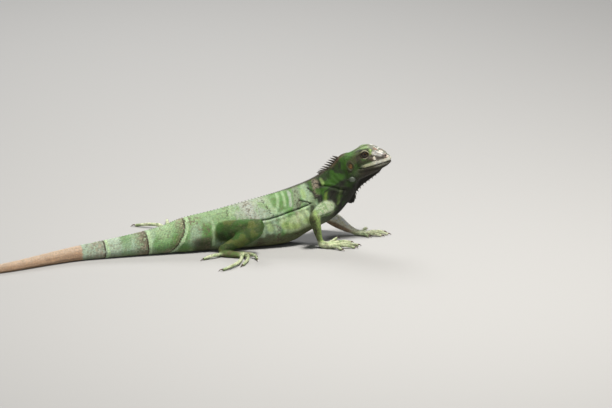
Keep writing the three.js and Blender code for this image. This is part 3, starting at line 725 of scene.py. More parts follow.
def under_height(t):
    """Height of the head's underside."""
    return head_row(t, 9)


def nostril_gap(t, h):
    """Distance from the middle of the nostril, seen from the side."""
    return np.hypot(t - NOSTRIL["at"][0], h - NOSTRIL["at"][2])


def ear_share(t, h):
    """0 at the middle of the eardrum, 1 on its edge."""
    return np.hypot((t - EAR["at"][0]) / EAR["radii"][0], (h - EAR["at"][2]) / EAR["radii"][1])


EYE_BALL = 5.15  # radius of the eyeball
LID_REACH = 1.36  # how far the lids cover the skin, as a share of their opening
EYE_HALF = (math.radians(53), math.radians(47))  # half the lids' opening, wide and high


def eye_axes(side):
    """The eye's own ways: outwards along its axis, back along the head, and up."""
    out = unit(HEAD3 @ np.array([-0.12, side, 0.06]))
    back = unit(HEAD3[:, 0] - out * (HEAD3[:, 0] @ out))
    upward = unit(HEAD3[:, 2] - out * (HEAD3[:, 2] @ out) - back * (HEAD3[:, 2] @ back))
    return out, back, upward


def lid_angle(turn):
    """The angle between the eye's axis and the lids' edge at a turn round the axis: an almond,
    (|cos| / width)^1.7 + (|sin| / height)^1.7, to the power of -1 / 1.7."""
    wide = (np.abs(np.cos(turn)) / EYE_HALF[0]) ** 1.7
    tall = (np.abs(np.sin(turn)) / EYE_HALF[1]) ** 1.7
    return (wide + tall) ** (-1 / 1.7)


def eye_share(points, side):
    """A place beside an eye seen along its axis: its distance from the axis as a share of the
    lids' edge there (0 on the axis, 1 on the edge), its height along the axis, the turn round it,
    and the distance and height of the edge. Places behind the eye count as far away."""
    out, back, upward = eye_axes(side)
    away = points - on_side(EYE, side)
    rise = away @ out
    turn = np.arctan2(away @ upward, away @ back)
    angle = lid_angle(turn)
    edge = EYE_BALL * np.sin(angle)
    share = np.hypot(away @ upward, away @ back) / edge
    return np.where(rise > 0, share, FAR), rise, turn, edge, EYE_BALL * np.cos(angle)


def about_eyes(points):
    """The share of the nearer eye's opening at each place."""
    return np.minimum(eye_share(points, 1)[0], eye_share(points, -1)[0])


def faced(points, normals):
    """The head's own relief: the mouth's groove between two swelling lips, the hollow before the
    eye, the edge of the brow, the jaw muscle, the eardrum's dish and the nostrils. Round each eye
    the skin is drawn over the ball as lids, and inside their opening it sinks behind the ball."""
    t, y, h = to_head(points).T
    side = np.abs(y)
    on_head = window(t, -4, 53, 2) * smooth(-22, -18, h)
    over_mouth = h - mouth_height(t)
    cheek = smooth(3, 6, side)
    front = window(t, -5, 38.5, 1.5)
    brow = h - brow_height(t)
    amount = -bell(over_mouth, 0.5) * front
    amount += 0.42 * bell(over_mouth - 1.9, 1.1) * front * (1 - smooth(30, 38, t))
    amount += 0.32 * bell(over_mouth + 1.9, 1.1) * front
    amount -= 0.4 * bell(over_mouth + 4.2, 1) * window(t, 4, 36, 4) * cheek
    amount -= 1.2 * blob(t, h, (16.5, 8.6), (5.5, 2.8)) * cheek
    ridge = bell(brow + 0.2, 1) * window(t, 5, 38, 3) * smooth(2, 4, side)
    amount += 0.6 * ridge
    amount -= 0.5 * bell(side - 3.2, 1.6) * window(t, 9, 20, 4) * smooth(-1, 2, brow)
    amount += 0.5 * bell(side, 2.2) * window(t, 4, 15, 3) * smooth(0, 2, brow)
    amount += 0.9 * blob(t, h, (42.5, -8.5), (7, 5.5)) * cheek \
        + 0.4 * blob(t, h, (38.5, 8), (4, 4)) * cheek
    amount -= 0.5 * blob(t, h, (37, 0.5), (2.6, 2.4)) * cheek
    rim = ear_share(t, h)
    amount += (-1.3 * (1 - smooth(0.75, 1.15, rim)) + 0.35 * bell(rim - 1.4, 0.22)) * cheek
    snout = nostril_gap(t, h)
    amount += (0.5 * bell(snout, 2.2) - 2 * bell(snout, 1.05)) * smooth(1.5, 3, side)
    points = points + normals * (amount * on_head)[:, None]
    for side in SIDES.values():
        share, rise, _, edge, rim = eye_share(points, side)
        drawn = rise + (rim + 0.55 - 0.5 * (share - 1) - rise) * (1 - smooth(1.2, 2.1, share))
        sunk = np.sqrt(np.maximum((EYE_BALL - 0.9) ** 2 - (share * edge) ** 2, 0.2))
        hole = 1 - smooth(0.96, 1.07, share)
        move = np.where(share < 2.1, np.minimum(rise, sunk) * hole + drawn * (1 - hole) - rise, 0)
        points = points + eye_axes(side)[0] * move[:, None]
    return points


def make_skin():
    """One skin over all the flesh: the solids are joined on a fine grid, their hollows softened,
    folds and relief pressed in, and the mesh thinned where it is flat."""
    rough = joined_mesh("rough_flesh", flesh())
    remesh = rough.modifiers.new("join", "REMESH")
    remesh.mode = "VOXEL"
    remesh.voxel_size = VOXEL * MM
    mesh = finished(rough)
    drop(rough)
    points = read_places(mesh)
    edges = read_rows(mesh.edges, "vertices", 2, np.int32)
    points = fillet(points, read_normals(mesh), edges, 60)
    for step in (muscled, folded, faced):
        write_places(mesh, points)
        points = step(points, read_normals(mesh))
    points[:, 2] = np.maximum(points[:, 2], GROUND)
    write_places(mesh, points)
    skin = linked("skin", mesh)
    thin = skin.modifiers.new("thin", "DECIMATE")
    thin.ratio = min(1, SKIN_TRIANGLES / (2 * len(mesh.polygons)))
    lean = finished(skin)
    skin.modifiers.clear()
    skin.data = lean
    bpy.data.meshes.remove(mesh)
    lean.polygons.foreach_set("use_smooth", np.ones(len(lean.polygons), bool))
    return skin


# ---------- markings


def tone(red, green, blue):
    """A colour from 0 to 255 as seen, turned into the linear scale that shaders use."""
    seen = np.array([red, green, blue]) / 255
    return np.where(seen <= 0.04045, seen / 12.92, ((seen + 0.055) / 1.055) ** 2.4)


GREEN = tone(122, 162, 104)
LEAF = tone(88, 138, 60)
LIME = tone(160, 186, 110)
PALE_GREEN = tone(176, 200, 158)
MINT = tone(182, 198, 178)
GREY_PALE = tone(190, 194, 184)
GREY_BROWN = tone(118, 106, 86)
PINK_GREY = tone(184, 166, 148)
BROWN = tone(176, 146, 118)
PALE_BROWN = tone(208, 186, 162)
DARK_BROWN = tone(66, 56, 42)
NEAR_BLACK = tone(34, 32, 26)
# the neck's own green darkened as painted shade
SHADED_NECK_GREEN = tone(32, 50, 14)
NECK_LEAF = tone(58, 100, 26)
NECK_GREY = tone(36, 33, 29)
# the cheeks' own green darkened as painted shade
SHADED_CHEEK_GREEN = tone(34, 46, 12)
JAW_BROWN = tone(54, 46, 38)
SNOUT_GREY = tone(118, 122, 110)
LEG_GREEN = tone(104, 126, 66)
# the near thigh's green darkened as painted shade
SHADED_THIGH_GREEN = tone(60, 80, 38)
HAND_PALE = tone(212, 220, 180)
# the far arm's pale inner side, brightened as painted light
LIT_CREAM = tone(250, 247, 222)


def mixed(colours, other, weight):
    """Colours moved towards another colour by a weight from 0 to 1."""
    weight = np.asarray(weight)[:, None]
    return colours * (1 - weight) + other * weight


def layered(colours, layers):
    """Colours moved towards each layer's colour by its weight, one layer after another."""
    for other, weight in layers:
        colours = mixed(colours, other, weight)
    return colours


def with_marks(colours, marks, spot, points, share=1):
    """Colours with a list of marks over them, each a stripe about its path in the map that spot
    holds, with soft edges and, where it has a size for them, broken into speckles."""
    for i, (path, half, soft, colour, strength, *grain) in enumerate(marks):
        away, _ = near_path(spot, path)
        inside = 1 - smooth(half - soft, half + soft, away)
        if grain:
            inside = inside * flecks(points, grain[0], 100 + i, 0.55)
        colours = mixed(colours, colour, strength * inside * share)
    return colours


def flecks(points, size, seed, share):
    """Speckles that cover about a share of the surface: 1 in them, 0 between them."""
    return smooth(0.55 - 0.35 * (share - 0.5), 0.62 - 0.35 * (share - 0.5), noise(points, size, seed))


# The tail's grey-brown rings: [back edge, front edge at the top, how far the ring leans back as it
# goes down, strength].
TAIL_RINGS = [
    (-154, -130.5, 0, 0.5), (-97, -81.5, 0, 0.9), (-46, -36, 8.5, 0.7),
]

# Marks of the trunk and neck in the body's own map: path of (x, lift), half width, softness,
# colour, strength, and the size of the speckles if they break it up.
BODY_MARKS = [
    ([(35, 27), (38, 20), (41, 13)], 6, 2, GREY_PALE, 0.75),
    ([(36, 25), (38, 19), (40, 14)], 4.6, 1.6, GREY_BROWN, 0.7, 1.5),
    ([(15, 26), (13, 20), (12, 13), (12, 8)], 1.3, 0.6, DARK_BROWN, 0.7, 1.4),
    ([(18, 26), (16.3, 20), (15, 13)], 1.2, 0.6, PALE_GREEN, 0.8),
    ([(24, 26), (23, 18), (22, 12)], 1.5, 0.8, GREY_PALE, 0.5, 1.8),
    ([(61.5, 25), (63.5, 19), (66.5, 14)], 2.6, 1.2, PALE_GREEN, 0.8),
    ([(55, 28), (56.1, 25.5), (58.7, 20), (62, 13), (63.5, 9)], 1.2, 0.6, DARK_BROWN, 0.8, 1.3),
    ([(76.2, 27), (73.5, 22), (71.5, 18)], 1.8, 1.2, PALE_GREEN, 0.75),
    ([(84.5, 27), (82.5, 21), (80.5, 17)], 1.8, 1.2, PALE_GREEN, 0.7),
    ([(92.5, 26), (89.7, 19), (87.5, 15)], 1.6, 1.1, GREY_PALE, 0.7),
    ([(74, 14), (76, 18)], 2, 1.4, GREY_BROWN, 0.5, 1.4),
    ([(101.5, 25), (98, 19), (94, 12), (92, 9)], 4.2, 1.4, tone(142, 154, 130), 0.8),
    ([(101, 24), (98, 18), (94.5, 11)], 4, 1.2, DARK_BROWN, 0.6, 1.1),
    ([(108.5, 21), (106.5, 16)], 2.4, 1.6, tone(168, 194, 128), 0.85),
    # partly dark skin, partly painted shadow of the near arm on the flank
    ([(119, 12), (114, 9), (110, 3), (107, -5), (104.5, -14)], 2.8, 1.6, tone(60, 60, 36), 0.8),
    ([(126.5, 20), (123.8, 16), (121.5, 11)], 3.2, 1.6, tone(138, 126, 108), 0.9),
    ([(126.5, 20), (123.8, 16), (121.5, 11)], 3.6, 1.4, NEAR_BLACK, 0.9, 1.3),
    ([(131.2, 18.5), (128, 14), (125, 9.5)], 0.9, 0.5, NEAR_BLACK, 0.85),
    ([(133, 17.5), (131.5, 13.5)], 1.5, 0.9, LIME, 0.7),
    # dark lines along the shoulder's creases: partly dark skin, partly painted shade in the creases
    ([(115.5, 21), (118.5, 13), (120.5, 7.5)], 0.9, 0.5, NEAR_BLACK, 0.85),
    ([(120.1, 7.5), (117, 8.5), (113.5, 9.2)], 0.8, 0.4, NEAR_BLACK, 0.8),
    # dark line along a crease: partly dark skin, partly painted shade
    ([(99.5, 15.5), (102, 13), (105.3, 10.5), (109.5, 5.9)], 0.8, 0.5, NEAR_BLACK, 0.85),
    ([(67.7, 6), (66.2, -6), (64.5, -22)], 2.2, 0.9, GREY_BROWN, 0.8, 1.7),
    ([(66, -4), (64.5, -20)], 1, 0.6, DARK_BROWN, 0.55, 1.4),
    ([(91.4, 4), (88.6, -3.9), (86.2, -13)], 1.9, 0.7, PINK_GREY, 0.7),
    ([(91.4, 3), (88.6, -4), (86.5, -12)], 1.3, 0.7, DARK_BROWN, 0.6, 1.4),
    ([(102, 4), (98, -2), (96, -6)], 4.5, 2.5, PALE_GREEN, 0.6),
    ([(69.6, 1.5), (69.2, -1)], 1.1, 0.7, PALE_GREEN, 0.9),
    ([(78, -8), (90, -10), (104, -11)], 6, 2.8, tone(198, 214, 168), 0.75),
    ([(74, 2), (84, 0), (98, 1)], 4.6, 2.4, tone(198, 214, 168), 0.7),
    ([(73, -3), (80, -7), (87, -9.5)], 3.4, 1.8, LIME, 0.75),
    ([(113.5, 13), (112, 6)], 2.8, 1.6, PALE_GREEN, 0.5),
    ([(55, 3), (58, -4)], 3.4, 2, LIME, 0.5),
    ([(97, -8), (103, -12)], 3.4, 1.8, LIME, 0.6),
    ([(80, 3), (76, -2)], 2.4, 1.6, LEAF, 0.45),
    ([(43, -19), (52, -22), (60, -20)], 2.6, 1.4, DARK_BROWN, 0.6, 2.6),
    ([(66, -20), (76, -23), (84, -19)], 2.4, 1.4, DARK_BROWN, 0.55, 2.6),
    ([(47, 2), (46, -9), (45, -18)], 2, 1.2, GREY_BROWN, 0.5, 1.9),
    ([(29, -8), (27, -16)], 2, 1.2, GREY_BROWN, 0.5, 1.9),
    ([(-13, 6), (-13.5, -4), (-15, -14)], 3.2, 1, GREY_BROWN, 0.75, 1.7),
    ([(-6.5, 14), (-6.3, 2), (-7.5, -12)], 1.8, 0.9, PALE_GREEN, 0.8),
    ([(-22, 18), (-27, 14), (-31, 17)], 3.2, 1.3, GREY_BROWN, 0.75, 1.9),
    ([(-16, 12), (-22, 6)], 2.4, 1.3, GREY_BROWN, 0.55, 1.7),
    ([(122, 6), (120, 2), (119, -4)], 3, 1.2, NECK_GREY, 0.85),
    ([(133, -1), (130, -5), (126, -10)], 4, 1.5, NECK_GREY, 0.85),
    ([(129, 5), (126, 1), (122.5, -6)], 1.3, 0.7, tone(110, 132, 52), 0.85),
    ([(140, -5), (136, -9), (130.5, -14)], 1.5, 0.8, tone(96, 118, 62), 0.75),
    ([(136, 12), (140, 7), (146, 3)], 3, 1.8, NECK_LEAF, 0.75),
    ([(123, 13), (127, 9), (131, 7)], 2.6, 1.2, NECK_LEAF, 0.85),
    ([(128.5, 6.5), (134, 5), (141, 2)], 0.9, 0.6, NEAR_BLACK, 0.8),
    ([(134, 16), (138, 15)], 2, 1.4, NEAR_BLACK, 0.5, 2.4),
    ([(143, -2), (140, -8)], 3.4, 1.5, NECK_GREY, 0.5),
]

# The dark line in the bottom of the flank's fold, in the same map: painted shadow in the crease.
FOLD_SHADOW_LINE = [(49, 7.6), (52.7, 7.8), (64.5, 8.2), (83.8, 9), (95.8, 7.6), (109.7, 6.3)]


def body_marking(points, place):
    """Tail, trunk and neck: green with leaning grey-brown rings, each with a dark edge and a pale
    line before it, the marks of the list, and the brown regrown tail with its fine streaks. Light
    and shade are painted in as well: paler tops, greyer and darker undersides, the thigh's shadow
    at the tail's root, a darkened neck and chest, and dark lines in the flank's creases."""
    x, lift, high = place["x"], place["lift"], place["high"]
    wave = 1.4 * (noise(points, 4.5, 3) - 0.5) + 0.8 * (noise(points, 1.6, 4) - 0.5)
    # painted light: the upper flanks and back paler where light falls from above, fading towards the neck
    lit_top = smooth(0.25, 0.85, high) * (1 - smooth(95, 112, x))
    grey = window(x, 20, 60, 8) * smooth(-0.1, 0.5, high) * smooth(0.35, 0.6, noise(points, 7, 7))
    # painted shade: greyer under the trunk and darker under the tail
    ventral = smooth(0.5, 0.85, -high) * smooth(-60, -10, x)
    under_tail = smooth(0.3, 0.8, -high) * (1 - smooth(-60, -20, x))
    # painted shade: the lower flank darker olive below a wavy line
    low = smooth(-10.5, -15, lift + 8 * (noise(points, 6, 9) - 0.5))
    # painted shadow of the thigh, low on the tail's root beside it
    shade = window(x, -30, -8, 5) * smooth(-2, 4, -lift)
    colours = layered(GREEN, [
        (LEAF, 0.7 * smooth(0.45, 0.7, noise(points, 10, 13))),
        (MINT, 0.55 * smooth(0.45, 0.7, noise(points, 13, 11))),
        # painted light on the tops of the tail and trunk
        (PALE_GREEN, 0.6 * lit_top * smooth(-160, -30, x) * (1 - 0.75 * smooth(55, 80, x))),
        (LEAF, 0.55 * window(x, 66, 100, 6) * smooth(0.3, 0.6, noise(points, 5, 5))),
        (GREY_PALE, 0.6 * grey),
        (MINT, 0.85 * window(x, -162, -112, 3) + 0.35 * window(x, -112, -96, 3)),
        (LEAF, 0.35 * window(x, -111, -100, 2) * smooth(-0.6, 0.3, high)),
        (PALE_GREEN, 0.55 * window(x, -69, -52, 3) * smooth(-0.2, 0.5, high)),
        # painted shade on the undersides of the trunk and tail
        (tone(140, 142, 112), 0.75 * ventral),
        (tone(112, 120, 84), 0.6 * under_tail),
        # painted shade on the lower flank
        (tone(84, 86, 52), 0.8 * (window(x, 38, 108, 6) * low)),
        # painted shadow of the thigh
        (tone(64, 62, 42), 0.85 * shade),
        (GREY_BROWN, 0.4 * flecks(points, 1.5, 15, 0.22)),
    ])
    for start, end, lean, strength in TAIL_RINGS:
        slope = lean * (1 - np.clip(high, -1, 1)) ** 1.5 - 0.9 * (1 - high * high)
        ring_x = x + slope + wave
        inside = smooth(start - 2, start + 3, ring_x) * (1 - smooth(end - 0.4, end + 0.4, ring_x))
        inside = inside * (0.35 + 0.65 * smooth(start, end - 2, ring_x))
        colours = layered(colours, [
            (GREY_BROWN, inside * strength * (1 - 0.7 * flecks(points, 1.5, int(-start), 0.4))),
            (PINK_GREY, 0.5 * inside * flecks(points, 1.8, int(-end), 0.35)),
            (DARK_BROWN, 0.92 * window(ring_x, end - 1.5, end + 0.2, 0.45)),
            (PALE_GREEN * 1.12, 0.95 * window(ring_x, end + 0.7, end + 4.2, 0.7)),
        ])
    # the neck's own green, darkened as painted shade; the chest's underside painted dark grey as shade
    neck = smooth(115, 122, x + 0.1 * lift)
    chest = smooth(106, 116, x) * smooth(0, 0.4, -high)
    colours = layered(colours, [
        (SHADED_NECK_GREEN, 0.95 * neck),
        (NECK_LEAF, 0.8 * neck * smooth(0.48, 0.62, noise(points, 5.5, 18)) * smooth(-8, 4, lift)),
        (NECK_GREY, 0.7 * neck * flecks(points, 3.6, 19, 0.3)),
        (NECK_GREY, 0.7 * chest),
        (NECK_LEAF, 0.45 * chest * flecks(points, 4, 21, 0.35)),
    ])
    spot = np.column_stack([x + wave, lift + 1.2 * (noise(points, 3, 27) - 0.5)])
    colours = with_marks(colours, BODY_MARKS, spot, points)
    away, _ = near_path(spot, FOLD_SHADOW_LINE)
    crown = bell(place["side"], 2.2) * smooth(0.7, 0.9, high) * smooth(84, 96, x)
    angle = np.arctan2(lift, place["side"])
    streak = noise(np.column_stack([x * 0.12, angle * 6, lift * 0]), 1, 17)
    # painted light: the regrown tail paler towards its top, over its own brown and dark streaks
    brown = layered(BROWN, [
        (DARK_BROWN, 0.3 * smooth(0.5, 0.8, streak)),
        (PALE_BROWN, 0.7 * smooth(0, 0.8, high)),
    ])
    return layered(colours, [
        # painted shadow in the flank's crease, stronger on the right side
        (NEAR_BLACK, (1 - smooth(0.15, 0.95, away)) * (0.35 + 0.55 * (points[:, 1] < 0))),
        (tone(104, 82, 66), 0.7 * (smooth(143, 149, x) * smooth(0.86, 0.98, high))),
        (DARK_BROWN, 0.75 * crown),
        (brown, 1 - smooth(TAIL_TURN_X - 0.6, TAIL_TURN_X + 0.6, x + 1.3 * wave)),
    ])


# Marks of the head in its own map of (back, height): path, half width, softness, colour, strength.
HEAD_MARKS = [
    ([(52, 8), (46, 11), (40, 14.5)], 3, 2, NECK_LEAF, 0.7),
    ([(44, 7), (38, 11), (33, 13), (28, 13), (24, 11), (21.5, 9)], 4, 1.6, DARK_BROWN, 0.65),
    ([(37, 16.8), (31, 18), (24, 17.6), (18, 14.8)], 0.8, 0.5, NEAR_BLACK, 0.85),
    ([(21, 16), (20.5, 14), (21.5, 12.4)], 1.6, 0.8, LIME, 0.85),
    ([(20.8, 11), (19.5, 10.2)], 1.5, 0.8, tone(104, 108, 48), 0.8),
    ([(22, 9.4), (16, 5.6), (9, 4.4)], 2.6, 1.6, tone(104, 98, 86), 0.75),
    ([(20.5, 9.8), (17, 7.4), (12, 5.6), (8.8, 5.8)], 1.3, 0.9, tone(40, 36, 32), 0.75),
    # painted highlight: a white streak along the snout's ridge
    ([(17.6, 12.6), (14, 11.2), (9.5, 9.2)], 2.2, 1.2, tone(238, 236, 230), 0.86),
    ([(18.2, 7), (17.8, 6.2)], 1.2, 0.6, tone(226, 216, 196), 0.9),
    ([(7.4, 8.8), (6.6, 5)], 1, 0.6, tone(120, 92, 84), 0.4),
    ([(2.4, 4.5), (2.6, 8)], 1.3, 0.8, tone(224, 208, 196), 0.8),
    ([(15.5, 17), (14, 16)], 1.5, 0.8, tone(150, 118, 100), 0.75),
    ([(33, 5.8), (28, 5.2), (20.5, 5.6)], 1.7, 1, DARK_BROWN * 0.8, 0.75),
    ([(40, 0.5), (34, 3.2), (28, 4.2)], 1.6, 1.2, SHADED_CHEEK_GREEN, 0.5),
    ([(53, -16.5), (55, -18)], 1.7, 0.8, tone(140, 132, 120), 0.8),
    ([(50.5, -19), (51, -21)], 1.6, 0.8, tone(108, 82, 62), 0.7),
    ([(45, 8), (49, 6), (50, 1), (48, -3)], 1.2, 0.9, DARK_BROWN, 0.5),
]


def head_marking(points):
    """Head: pale snout and upper lip, green brow and cheeks, a dark band through the eye to the
    nostril, a pale plate at the jaw's corner, dark jaw and nearly black throat. Light and shade are
    painted in as well: white highlights on the snout, its side darker below the brow, darkened
    cheeks, a dark ring round the eardrum and the throat deepened to near black."""
    t, y, h = to_head(points).T
    side = np.abs(y)
    over_mouth = h - mouth_height(t)
    brow = h - brow_height(t)
    wave = noise(points, 2.6, 33) - 0.5
    roof = smooth(-0.8, 0.8, brow + wave)
    stripe = roof * window(side, 3, 7.6, 0.8) * window(t, 20.5, 37, 2)
    snout = 1 - smooth(17.5, 23.5, t + wave - 1.5 * roof + 0.6 * smooth(0, -5, brow))
    snout = snout * smooth(-0.2, 0.6, over_mouth)
    # painted highlight: white flecks over the top of the snout
    snout_highlight = 0.8 * snout * flecks(points, 3.2, 38, 0.42)
    face = smooth(3, 5, side)
    # cheeks' green darkened as painted shade
    colours = layered(SHADED_CHEEK_GREEN, [
        (NECK_LEAF, 0.6 * smooth(0.48, 0.66, noise(points, 5, 35))),
        (tone(78, 98, 50), 0.9 * roof * window(t, 19, 41, 3)),
        (tone(150, 176, 122), 0.65 * stripe),
        (NECK_LEAF, 0.8 * roof * smooth(37, 42, t)),
        (DARK_BROWN, 0.6 * roof * window(t, 18, 36, 3) * bell(side, 1.6)),
        (SNOUT_GREY, 0.94 * snout),
        # painted highlight on the snout's top
        (tone(220, 220, 212), snout_highlight * smooth(-3, 0, brow)),
        (tone(128, 112, 102), 0.6 * snout * flecks(points, 2.2, 39, 0.35)),
        # painted shade: the snout's side darker below the brow
        (tone(84, 78, 68), 0.5 * snout * smooth(-1, -4, brow) * window(t, 4, 24, 3)),
    ])
    colours = with_marks(colours, HEAD_MARKS, np.column_stack([t, h + 0.5 * wave]), points, face)
    lip = window(over_mouth + 0.3 * wave, 0.2, 4.2, 0.6)
    jaw = 1 - smooth(-1.2, -0.1, over_mouth)
    groove = window(over_mouth, -1, 0.3, 0.3) * window(t, -4, 38, 4)
    lower_lip = window(over_mouth, -2.8, -1.1, 0.4) * window(t, 4, 19, 3)
    jowl = blob(t, h, (44, -8), (9, 5)) * face
    # painted shade: a dark ring in the eardrum's dish and round its edge
    rim = window(ear_share(t, h), 0.7, 1.7, 0.2) * face
    plate = np.hypot((t - JAW_PLATE["at"][0]) / 4, (h - JAW_PLATE["at"][2]) / 3.4)
    # the throat's own dark brown-grey, deepened to near black as painted shade
    throat = 1 - smooth(-17, -12.5, h + 0.12 * (t - 30))
    return layered(colours, [
        (tone(196, 196, 182), 0.92 * lip * (1 - smooth(20, 27, t))),
        (tone(178, 180, 148), 0.85 * lip * window(t, 20, 32, 4)),
        (JAW_BROWN, 0.85 * jaw * (1 - smooth(35, 44, t))),
        (DARK_BROWN * 0.6, 0.9 * groove),
        (tone(150, 148, 132), 0.5 * lower_lip),
        (tone(62, 62, 48), 0.6 * jowl),
        # painted shade round the eardrum
        (tone(44, 44, 22), 0.75 * rim),
        (NEAR_BLACK, 0.85 * throat),
        (tone(120, 130, 116), 0.85 * (1 - smooth(0.85, 1.1, plate))),
        (NEAR_BLACK, 0.45 * flecks(points, 2.6, 23, 0.18) * smooth(30, 40, t)),
    ])


# the near thigh's colour darkened as painted shade, the far arm's brightened as painted light
LEG_COLOURS = {
    "fore_right": LEG_GREEN, "fore_left": LIT_CREAM, "hind_right": SHADED_THIGH_GREEN, "hind_left": LEG_GREEN,
}
# Where the colour changes: heights and places forward down the near forearm and the far one, and
# a corner and the way out of the far arm's outer side. The two lines part the lit sides from
# painted shade: the near forearm's back and the far arm's underside.
FOREARM_LINE = ([7.5, 16, 27, 36, 42], [113.5, 110.5, 107.5, 105, 103.5])
FAR_ARM_LINE = ([131, 147, 166], [21, 15, 5])
FAR_ARM_SIDE = {
    "upper": ((128, 8, 45), (0.2, 0.78, 0.6)),
    "lower": ((131, 30, 20), (0.53, 0.85, 0)),
}


def leg_marking(points, key, part):
    """Legs: green with grey and brown flecks, paler on the hands, feet and toes, with painted light on
    the tops of the near arm, the far arm and the toes, and painted shade on the near forearm's back,
    the far arm's underside and the near thigh.
    """
    base = LEG_COLOURS[key]
    layers = [(base * 1.25, smooth(0.45, 0.7, noise(points, 4, 29)))]
    x, y, z = points.T
    hind = key.startswith("hind")
    if part == "upper" and key == "fore_right":
        layers += [
            # painted light: the near upper arm paler towards its top
            (tone(184, 198, 166), 0.25 + 0.65 * smooth(26, 44, z)),
            (LEAF, 0.55 * smooth(0.5, 0.62, noise(points, 2.6, 28))),
        ]
    if part == "lower" and key == "fore_right":
        # painted light and shade: the near forearm's front paler, its back darker
        front = smooth(-2.5, 1, x - np.interp(z, *FOREARM_LINE))
        layers += [
            (tone(160, 188, 106), 0.75 * front),
            # painted shade on the forearm's back, with real grey-brown flecks
            (DARK_BROWN, 0.5 * (1 - front) + 0.45 * flecks(points, 1.5, 27, 0.3)),
        ]
    if key == "fore_left" and part in ("upper", "lower"):
        corner, way = FAR_ARM_SIDE[part]
        layers += [
            # painted shade: the far arm brown below its line
            (tone(138, 96, 62), 0.8 * smooth(0, -3, z - np.interp(x, *FAR_ARM_LINE))),
            (tone(150, 168, 112), 0.9 * smooth(0.5, 4, (points - corner) @ way)),
        ]
    if key == "hind_right" and part in ("upper", "lower"):
        layers += [
            (tone(66, 110, 46), 0.7 * smooth(0.48, 0.62, noise(points, 8, 30))),
            (tone(110, 118, 58), 0.6 * smooth(0.52, 0.64, noise(points, 6, 32))),
        ]
    layers.append((GREY_BROWN, (0.4 if key == "fore_right" else 0.25) * flecks(points, 1.2, 31, 0.25)))
    if part == "palm":
        layers.append((tone(112, 112, 74) if hind else HAND_PALE, np.full(len(points), 0.85)))
    if part == "digit":
        # painted light: the toes paler towards their tops
        layers.append((HAND_PALE, 0.35 + 0.6 * smooth(1.4, 3.2, z)))
        if hind:
            inner = smooth(21, 25, x) * smooth(-50, -44, y) * smooth(10, 0, y)
            layers.append((tone(112, 98, 70), 0.75 * inner))
    if part in ("palm", "digit"):
        layers += [
            (GREY_BROWN, 0.45 * flecks(points, 2.3, 37, 0.25)),
            (LEAF, 0.4 * flecks(points, 3.1, 36, 0.3)),
        ]
    return layered(base, layers)


BLEND = 0.8  # how fast one part's value gives way to another's with the distance to it


def leg_tubes():
    """Every tube of the legs as (leg, part, tube)."""
    for key, leg in LEGS.items():
        for part in ("upper", "lower", "palm"):
            yield key, part, leg[part]
        for i in range(len(leg["digits"])):
            yield key, "digit", DIGITS[(key, i)]


def near_legs(points):
    """For each tube of the legs, the places about it, how much they belong to it, and its way."""
    for key, part, piece in leg_tubes():
        rows = piece["rows"]
        reach = rows[:, 3:].max() + 5
        low = rows[:, :3].min(axis=0) - reach
        high = rows[:, :3].max(axis=0) + reach
        near = np.flatnonzero(((points > low) & (points < high)).all(axis=1))
        if len(near):
            gap, way = tube_gap(piece, points[near])
            yield key, part, near, np.exp(-np.clip(gap, -3, 30) / BLEND)[:, None], way


def head_weight(points):
    """How much a place belongs to the head, from 1 to 0 across the back of the jaws."""
    t, _, h = to_head(points).T
    return ((1 - smooth(48, 56, t + 0.2 * np.abs(h - 2))) * (h > -46))[:, None]


def mixed_parts(points, of_body, of_leg):
    """A value at any places: the body's and each leg's, mixed by how near each part is, so that
    there is no seam. of_leg gives it for some of the places, the leg, its part and its way."""
    total = np.exp(-np.clip(tube_gap(BODY, points)[0], -3, 30) / BLEND)[:, None]
    mix = of_body * total
    for key, part, near, weight, way in near_legs(points):
        mix[near] += of_leg(points[near], key, part, way) * weight
        total[near] += weight
    return mix / total


def marking(points):
    """The animal's colours at any places, the same for skin and scales: those of body and legs,
    then those of the head, and the dark skin between the jaws and the throat, deepened to near
    black as painted shade."""
    mix = mixed_parts(points, body_marking(points, survey(points)),
                      lambda near, key, part, way: leg_marking(near, key, part))
    head = head_weight(points)
    mix = mix * (1 - head) + head_marking(points) * head
    t, y, h = to_head(points).T
    # painted shade: the skin under the jaws deepened to near black
    under = smooth(36, 44, t) * (1 - smooth(62, 70, t)) * (1 - smooth(8, 12, np.abs(y)))
    under = under * (1 - smooth(-22, -17, h)) * smooth(-60, -50, h)
    return np.clip(mixed(mix, NEAR_BLACK, 0.85 * under), 0, 1)


def lie(points):
    """The way that scales point at any places: back along the body and head, down the legs."""
    mix = mixed_parts(points, -survey(points)["way"], lambda near, key, part, way: way)
    head = head_weight(points)
    return unit(mix * (1 - head) + HEAD3[:, 0] * head)


# ---------- scales

# A scale as [back, across, height], for a scale one unit long and wide: a pointed oval whose
# front edge lies under the scale before it, whose back edge stands proud, and whose keel rises
# towards the back. It is closed below. Its shade row scales the colour at each corner as painted
# shade and highlight: darker on the sunk rim, lighter along the keel.
SCALE = {
    "places": np.array([
        [-0.62, 0, -0.45], [-0.32, 0.42, -0.3], [0.12, 0.55, -0.05], [0.46, 0.34, 0.18],
        [0.72, 0, 0.34], [0.46, -0.34, 0.18], [0.12, -0.55, -0.05], [-0.32, -0.42, -0.3],
        [-0.22, 0, 0.42], [0.34, 0, 0.86],
    ]),
    "threes": np.array([[0, 8, 1], [0, 7, 8], [2, 9, 3], [3, 9, 4], [4, 9, 5], [5, 9, 6]]),
    "fours": np.array([[1, 8, 9, 2], [6, 9, 8, 7]]),
    "below": np.array([[0, 1, 2, 3, 4, 5, 6, 7]]),
    # painted shade and highlight: the sunk rim darker, the keel and its tip lighter
    "shade": np.array([0.55, 0.66, 0.8, 0.92, 1, 0.92, 0.8, 0.66, 1.02, 1.14]),
}


